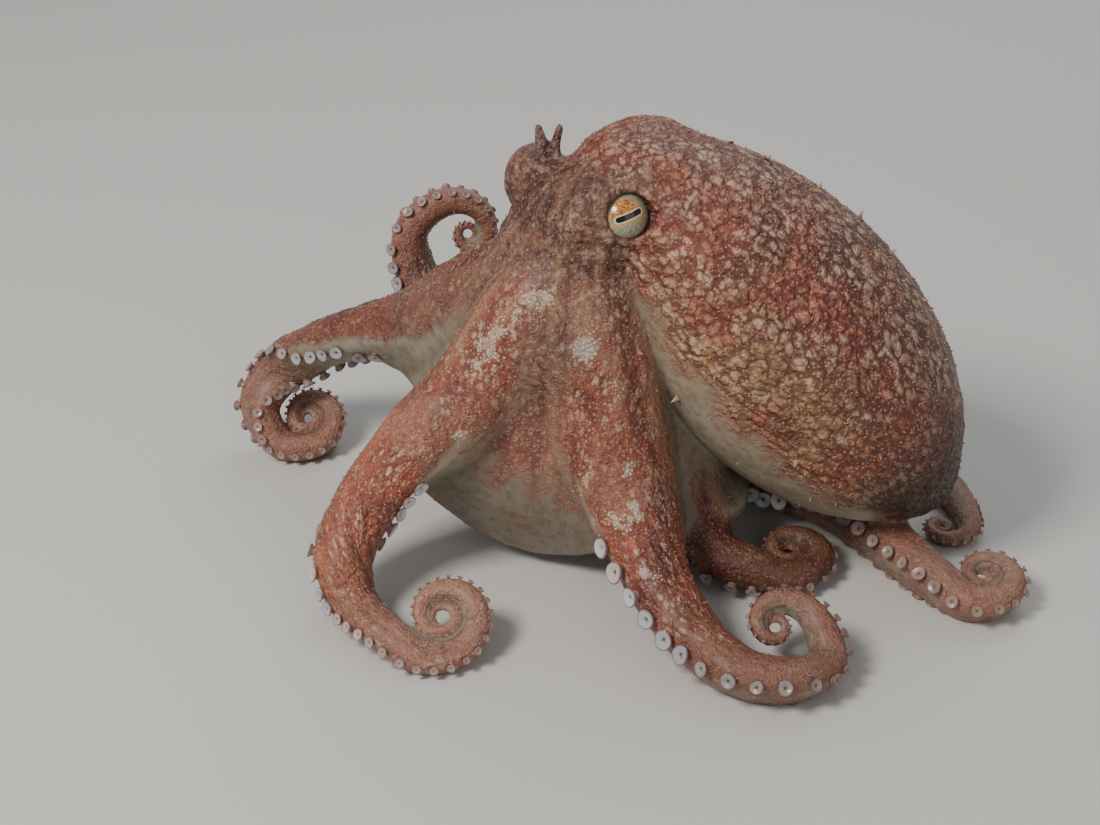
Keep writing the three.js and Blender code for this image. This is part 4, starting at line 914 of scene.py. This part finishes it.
def skin_material():
    m = Mat("skin")
    ob = m.node("ShaderNodeTexCoord").outputs["Object"]
    mm = m.scale(ob, 1000.)
    base = m.attr("base").outputs["Color"]
    cells, patch, fleck = m.xyz(m.attr("ma").outputs["Vector"])
    pale, grain, white = m.xyz(m.attr("mb").outputs["Vector"])
    far, stw, tone_and_painted_shade = m.xyz(m.attr("mc").outputs["Vector"])
    st = m.attr("st").outputs["Vector"]
    # coordinates along the mantle, warped a little
    rot = m.node("ShaderNodeMapping", {"Vector": mm}, vector_type="POINT")
    rot.inputs["Rotation"].default_value = (0, math.radians(-MANTLE["pitch"]), 0)
    wn = m.noise(mm, .16, 2.).outputs["Color"]
    warp = m.vadd(rot.outputs[0], m.scale(wn, 5.))
    f1 = m.voronoi(m.scale(warp, (1 / 3.7, 1 / 2.8, 1 / 2.8)), "F1", .9)
    dome = m.ramp(f1.outputs["Distance"], .74, .12)
    groove = m.ramp(f1.outputs["Distance"], .4, .72)
    rnd = m.xyz(f1.outputs["Color"])
    # small warts inside the cells and over the arms
    gv = m.scale(m.vadd(mm, m.scale(wn, 1.5)), 1 / 1.15)
    g1 = m.voronoi(gv, "F1", 1.)
    gr = m.ramp(g1.outputs["Distance"], .62, .1)
    grnd = m.xyz(g1.outputs["Color"])
    fine = m.noise(mm, 1.6, 4., .65).outputs["Fac"]
    mid = m.noise(mm, .35, 3., .6).outputs["Fac"]
    c = base
    # uneven tone
    c = m.mix(m.mul(m.ramp(mid, .4, .75), .5), c, m.mix(1., c, lin(170, 108, 92) * 1.2, "MULTIPLY"))
    c = m.mix(m.mul(m.ramp(fine, .35, .7), m.mul(grain, .42)), c, lin(94, 44, 38))
    # cobbles: pale tops in patches, others tan or brown, soft grooves between
    c = m.mix(m.mul(cells, m.ramp(rnd[1], .45, .9), dome, .5), c, lin(188, 124, 92))
    c = m.mix(m.mul(cells, m.ramp(rnd[2], .55, .95), .45), c, lin(104, 48, 40))
    lit = m.mul(cells, patch, m.ramp(dome, .05, .7), m.ramp(rnd[0], .05, .6, .4, 1.), m.ramp(gr, 0., 1., .55, 1.))
    c = m.mix(m.mul(lit, .95), c, lin(222, 196, 166))
    c = m.mix(m.mul(groove, cells, .62), c, lin(76, 34, 30))
    # warts
    c = m.mix(m.mul(gr, grain, m.ramp(grnd[0], .3, .9), .6), c, lin(216, 176, 148))
    c = m.mix(m.mul(gr, grain, m.ramp(grnd[1], .7, .9), .5), c, lin(116, 54, 44))
    # lengthwise flecks, in two sizes, in drifts
    fl = m.voronoi(m.scale(st, (1 / 3.4, 1 / 1.9, 1 / 1.9)), "F1", 1.)
    flr = m.xyz(fl.outputs["Color"])
    drift = m.ramp(m.noise(m.scale(st, (.06, .2, .2)), 1., 2., .6).outputs["Fac"], .38, .62, .15, 1.)
    along = m.mul(fleck, stw)
    fm = m.mul(m.ramp(m.add(fl.outputs["Distance"], m.mul(fine, .3)), .72, .38), m.ramp(flr[0], .35, .75), along, drift)
    c = m.mix(m.mul(fm, m.ramp(gr, 0., 1., .6, .95)), c, lin(226, 202, 176))
    crown = m.mul(fleck, m.math("SUBTRACT", 1., stw), gr, m.ramp(grnd[2], .35, .7), m.ramp(mid, .46, .62, 0., 1.))
    c = m.mix(m.mul(crown, .8), c, lin(222, 194, 166))
    # the same over the crown, where they run down from the head
    cv = m.voronoi(m.scale(m.vadd(mm, m.scale(wn, 2.)), (1 / 2.1, 1 / 2.1, 1 / 3.8)), "F1", 1.)
    cvr = m.xyz(cv.outputs["Color"])
    top = m.mul(fleck, m.math("SUBTRACT", 1., stw))
    cm = m.mul(m.ramp(m.add(cv.outputs["Distance"], m.mul(fine, .3)), .76, .4), m.ramp(cvr[0], .3, .65), top, m.ramp(mid, .38, .56, .25, 1.))
    c = m.mix(m.mul(cm, m.ramp(gr, 0., 1., .6, .95)), c, lin(228, 200, 168))
    # white spots, broken into grains, bluish in the middle
    ws = m.ramp(m.add(m.mul(white, 1.1), m.add(m.mul(gr, .5), m.mul(fine, .3))), .78, 1.2)
    c = m.mix(m.mul(ws, .85), c, m.mix(m.ramp(white, .75, 1.), lin(224, 204, 178), lin(222, 218, 208)))
    c = m.mix(m.mul(ws, m.ramp(gr, .45, .0), .5), c, lin(150, 104, 82))
    # pepper: tiny dark dots, plainest on the pale side, and bright grains
    pv = m.voronoi(m.scale(mm, 1 / .8), "F1", 1.)
    pr = m.xyz(pv.outputs["Color"])
    dots = m.mul(m.ramp(pv.outputs["Distance"], .3, .12), m.ramp(pr[0], .55, .6), m.ramp(mid, .3, .6, .2, 1.))
    c = m.mix(m.mul(dots, m.ramp(pale, 0., 1., .6, .35)), c, lin(86, 44, 34))
    hi = m.mul(m.ramp(pv.outputs["Distance"], .3, .1), m.ramp(pr[1], .86, .9), m.ramp(cells, 0., 1., 1., .5), m.math("SUBTRACT", 1., m.mul(pale, .8)))
    c = m.mix(m.mul(hi, .85), c, lin(238, 222, 200))
    # the colour multiplied by the skin's tone and painted shade
    c = m.mix(1., c, m.node("ShaderNodeCombineXYZ", {0: tone_and_painted_shade, 1: tone_and_painted_shade, 2: tone_and_painted_shade}).outputs[0], "MULTIPLY")
    m.set(m.b.inputs["Base Color"], c)
    m.set(m.b.inputs["Roughness"], m.ramp(fine, .2, .8, .34, .56))
    m.b.inputs["Specular IOR Level"].default_value = .4
    m.b.inputs["Coat Weight"].default_value = .12
    m.b.inputs["Coat Roughness"].default_value = .3
    # relief in mm
    h = m.mul(dome, cells, 1.5)
    h = m.add(h, m.mul(gr, grain, .36))
    h = m.add(h, m.mul(m.ramp(fl.outputs["Distance"], .65, .1), along, .4))
    h = m.add(h, m.mul(m.ramp(cv.outputs["Distance"], .65, .1), top, .45))
    h = m.add(h, m.mul(fine, m.ramp(pale, 0., 1., .35, .1)))
    h = m.add(h, m.mul(m.ramp(white, .3, 1.), gr, .3))
    bump = m.node("ShaderNodeBump", {"Height": h})
    bump.inputs["Strength"].default_value = 1.
    bump.inputs["Distance"].default_value = .001
    m.set(m.b.inputs["Normal"], bump.outputs[0])
    return m.m

def sucker_material():
    m = Mat("suckers")
    ob = m.node("ShaderNodeTexCoord").outputs["Object"]; mm = m.scale(ob, 1000.)
    rad, along, f = m.xyz(m.attr("sk").outputs["Vector"])
    fine = m.noise(mm, 1.4, 3.).outputs["Fac"]
    sh, rnd, _ = m.xyz(m.attr("sh").outputs["Vector"])
    cup = m.mix(rnd, lin(190, 202, 214), lin(206, 204, 200))
    c = m.mix(m.ramp(along, .1, .3), lin(166, 140, 124), cup)
    rim = m.mul(m.ramp(rad, .8, .93), m.ramp(along, .15, .3))
    c = m.mix(m.mul(rim, .85), c, lin(136, 88, 84))
    c = m.mix(m.mul(m.ramp(rad, .48, .36), m.ramp(along, .5, .6), .6), c, lin(204, 188, 164))
    # painted shade: a dark dot in the middle of each cup, where it opens inward
    c = m.mix(m.mul(m.ramp(rad, .24, .14), m.ramp(along, .55, .7), .85), c, lin(116, 78, 62))
    c = m.mix(m.mul(m.ramp(f, .42, .75), .72), c, lin(172, 126, 110))
    c = m.mix(m.mul(m.ramp(fine, .45, .7), .22), c, lin(150, 112, 100))
    # the colour multiplied by the arm's tone and painted shade
    c = m.mix(1., c, m.node("ShaderNodeCombineXYZ", {0: sh, 1: sh, 2: sh}).outputs[0], "MULTIPLY")
    m.set(m.b.inputs["Base Color"], c)
    m.b.inputs["Roughness"].default_value = .34
    m.b.inputs["Subsurface Weight"].default_value = .15
    m.b.inputs["Subsurface Radius"].default_value = (1., .5, .35)
    m.b.inputs["Subsurface Scale"].default_value = .002
    m.b.inputs["Coat Weight"].default_value = .2
    bump = m.node("ShaderNodeBump", {"Height": m.mul(fine, .12)})
    bump.inputs["Distance"].default_value = .001
    m.set(m.b.inputs["Normal"], bump.outputs[0])
    return m.m

def papilla_material():
    m = Mat("papillae")
    ob = m.node("ShaderNodeTexCoord").outputs["Object"]; mm = m.scale(ob, 1000.)
    a = m.attr("base")
    fine = m.noise(mm, 1.6, 3.).outputs["Fac"]
    c = m.mix(m.mul(a.outputs["Alpha"], .9), a.outputs["Color"], lin(230, 204, 176))
    c = m.mix(m.mul(m.ramp(fine, .45, .7), .3), c, lin(150, 80, 60))
    # the colour multiplied by the skin's tone and painted shade
    c = m.mix(1., c, m.attr("sh").outputs["Vector"], "MULTIPLY")
    m.set(m.b.inputs["Base Color"], c)
    m.b.inputs["Roughness"].default_value = .45
    bump = m.node("ShaderNodeBump", {"Height": m.mul(fine, .1)})
    bump.inputs["Distance"].default_value = .001
    m.set(m.b.inputs["Normal"], bump.outputs[0])
    return m.m

def eye_material():
    m = Mat("eye")
    ev = m.attr("ev").outputs["Vector"]
    mmv = m.scale(ev, EYE_R)
    x, y, z = m.xyz(mmv)
    # the slit: a bar 8.6 long and 1.9 high with round ends, a little bent
    yb = m.math("SUBTRACT", y, m.mul(x, x, .012))
    dx = m.math("MAXIMUM", m.math("SUBTRACT", m.math("ABSOLUTE", x), 3.4), 0.)
    dd = m.math("SQRT", m.add(m.mul(dx, dx), m.mul(yb, yb)))
    front = m.ramp(z, 0., .5)
    fine = m.noise(mmv, 2.2, 3., .6).outputs["Fac"]
    spk = m.voronoi(m.scale(mmv, 1 / .42), "F1", 1.)
    sr = m.xyz(spk.outputs["Color"])
    rr = m.math("SQRT", m.add(m.mul(x, x), m.mul(y, y)))
    ang = m.math("ARCTAN2", y, x)
    rays = m.noise(m.node("ShaderNodeCombineXYZ", {0: m.mul(ang, 7.), 1: m.mul(rr, .35), 2: 0.}).outputs[0], 1.6, 2.).outputs["Fac"]
    c = m.mix(m.ramp(rays, .35, .7), lin(134, 132, 108), lin(178, 174, 148))
    # painted shade: darker towards the edge of the opening, under the lid, broken by the rays
    c = m.mix(m.mul(m.ramp(rr, 5.2, 7.2), m.ramp(rays, .40, .58), .55), c, lin(104, 86, 66))
    # gold above the slit, thin below it
    ex, ey = m.mul(m.add(x, .5), 1 / 4.9), m.mul(m.math("SUBTRACT", y, .3), 1 / 5.4)
    el = m.math("SQRT", m.add(m.mul(ex, ex), m.mul(ey, ey)))
    gold = m.mul(m.ramp(el, 1.08, .86), m.ramp(y, -.4, .4))
    c = m.mix(gold, c, m.mix(m.ramp(sr[0], .3, .8), lin(150, 84, 34), lin(222, 160, 88)))
    c = m.mix(m.mul(gold, m.ramp(spk.outputs["Distance"], .3, .1), m.ramp(sr[1], .6, .7), .8), c, lin(84, 40, 22))
    low = m.mul(m.ramp(m.add(dd, m.mul(rays, 1.6)), 3.6, 2.2), m.ramp(y, .2, -.4))
    c = m.mix(m.mul(low, .85), c, lin(206, 150, 60))
    c = m.mix(m.mul(m.ramp(dd, 1.42, 1.12), .95), c, lin(222, 204, 168))
    c = m.mix(m.ramp(dd, .94, .82), c, lin(6, 5, 5))
    # painted shade: brown on the ball where it goes under the lid, in the gap between them
    c = m.mix(m.ramp(z, 2.6, 1.2), c, lin(132, 104, 82))
    m.set(m.b.inputs["Base Color"], c)
    m.b.inputs["Roughness"].default_value = .12
    m.b.inputs["Coat Weight"].default_value = .6
    m.b.inputs["Coat Roughness"].default_value = .05
    bump = m.node("ShaderNodeBump", {"Height": m.mul(fine, m.ramp(dd, 1., 1.3), .05)})
    bump.inputs["Distance"].default_value = .001
    m.set(m.b.inputs["Normal"], bump.outputs[0])
    return m.m

skin.data.materials.append(skin_material())
suckers.data.materials.append(sucker_material())
papillae.data.materials.append(papilla_material())
em = eye_material()
for o in (eye_l, eye_r):
    o.data.materials.append(em)

# ------------------------------------------------------------------ frame
nodes = list(frame["nodes"])
flesh = [n for n in nodes if not n.startswith("eye_")]
for o, sl_, reps in ((skin, "arm_skin", flesh), (suckers, "pale_skin", []), (papillae, "mantle_skin", []), (eye_l, "eye", ["eye_left"]), (eye_r, "eye", ["eye_right"])):
    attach(o, "root")
    if reps:
        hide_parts(*reps)

# ------------------------------------------------------------------ floor, light, camera
def plain(name, colour, rough):
    m = Mat(name)
    m.b.inputs["Base Color"].default_value = tuple(colour) + (1,)
    m.b.inputs["Roughness"].default_value = rough
    return m.m
me = bpy.data.meshes.new("floor")
me.from_pydata([(-8, -8, 0), (8, -8, 0), (8, 8, 0), (-8, 8, 0)], [], [(0, 1, 2, 3)])
floor = bpy.data.objects.new("floor", me); bpy.context.scene.collection.objects.link(floor)
me.materials.append(plain("floor", lin(206, 203, 197), .8))
floor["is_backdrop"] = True

def area(name, at, to, size, watts, colour):
    l = bpy.data.lights.new(name, "AREA"); l.size = size; l.energy = watts; l.color = colour
    o = bpy.data.objects.new(name, l); bpy.context.scene.collection.objects.link(o)
    o.location = at; o.rotation_euler = (Vector(to) - Vector(at)).to_track_quat("-Z", "Y").to_euler()
    return o
MID = (0, 0, .06)
area("key", (-.62, -.5, .92), MID, .32, 11.5, (1, .97, .93))
area("fill", (.6, -.9, .5), MID, .9, 1.8, (.93, .97, 1))
area("back", (.3, .8, .9), MID, .7, 3.6, (.95, .98, 1))
w = bpy.data.worlds.new("world"); w.use_nodes = True; bpy.context.scene.world = w
w.node_tree.nodes["Background"].inputs[0].default_value = (.86, .9, .94, 1)
w.node_tree.nodes["Background"].inputs[1].default_value = .35

target = np.array([0, 0, 50.]); away = np.array([0, -math.cos(math.radians(30)), math.sin(math.radians(30))]) * 650
cam = bpy.data.objects.new("camera", bpy.data.cameras.new("camera")); bpy.context.scene.collection.objects.link(cam)
cam.location = Vector(to_m(target + away)); cam.rotation_euler = Vector(-away).to_track_quat("-Z", "Y").to_euler()
cam.data.lens = 65.09; cam.data.sensor_width = 36; cam.data.dof.use_dof = False
cam.data.clip_start = .01
bpy.context.scene.camera = cam

lo_, hi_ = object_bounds()
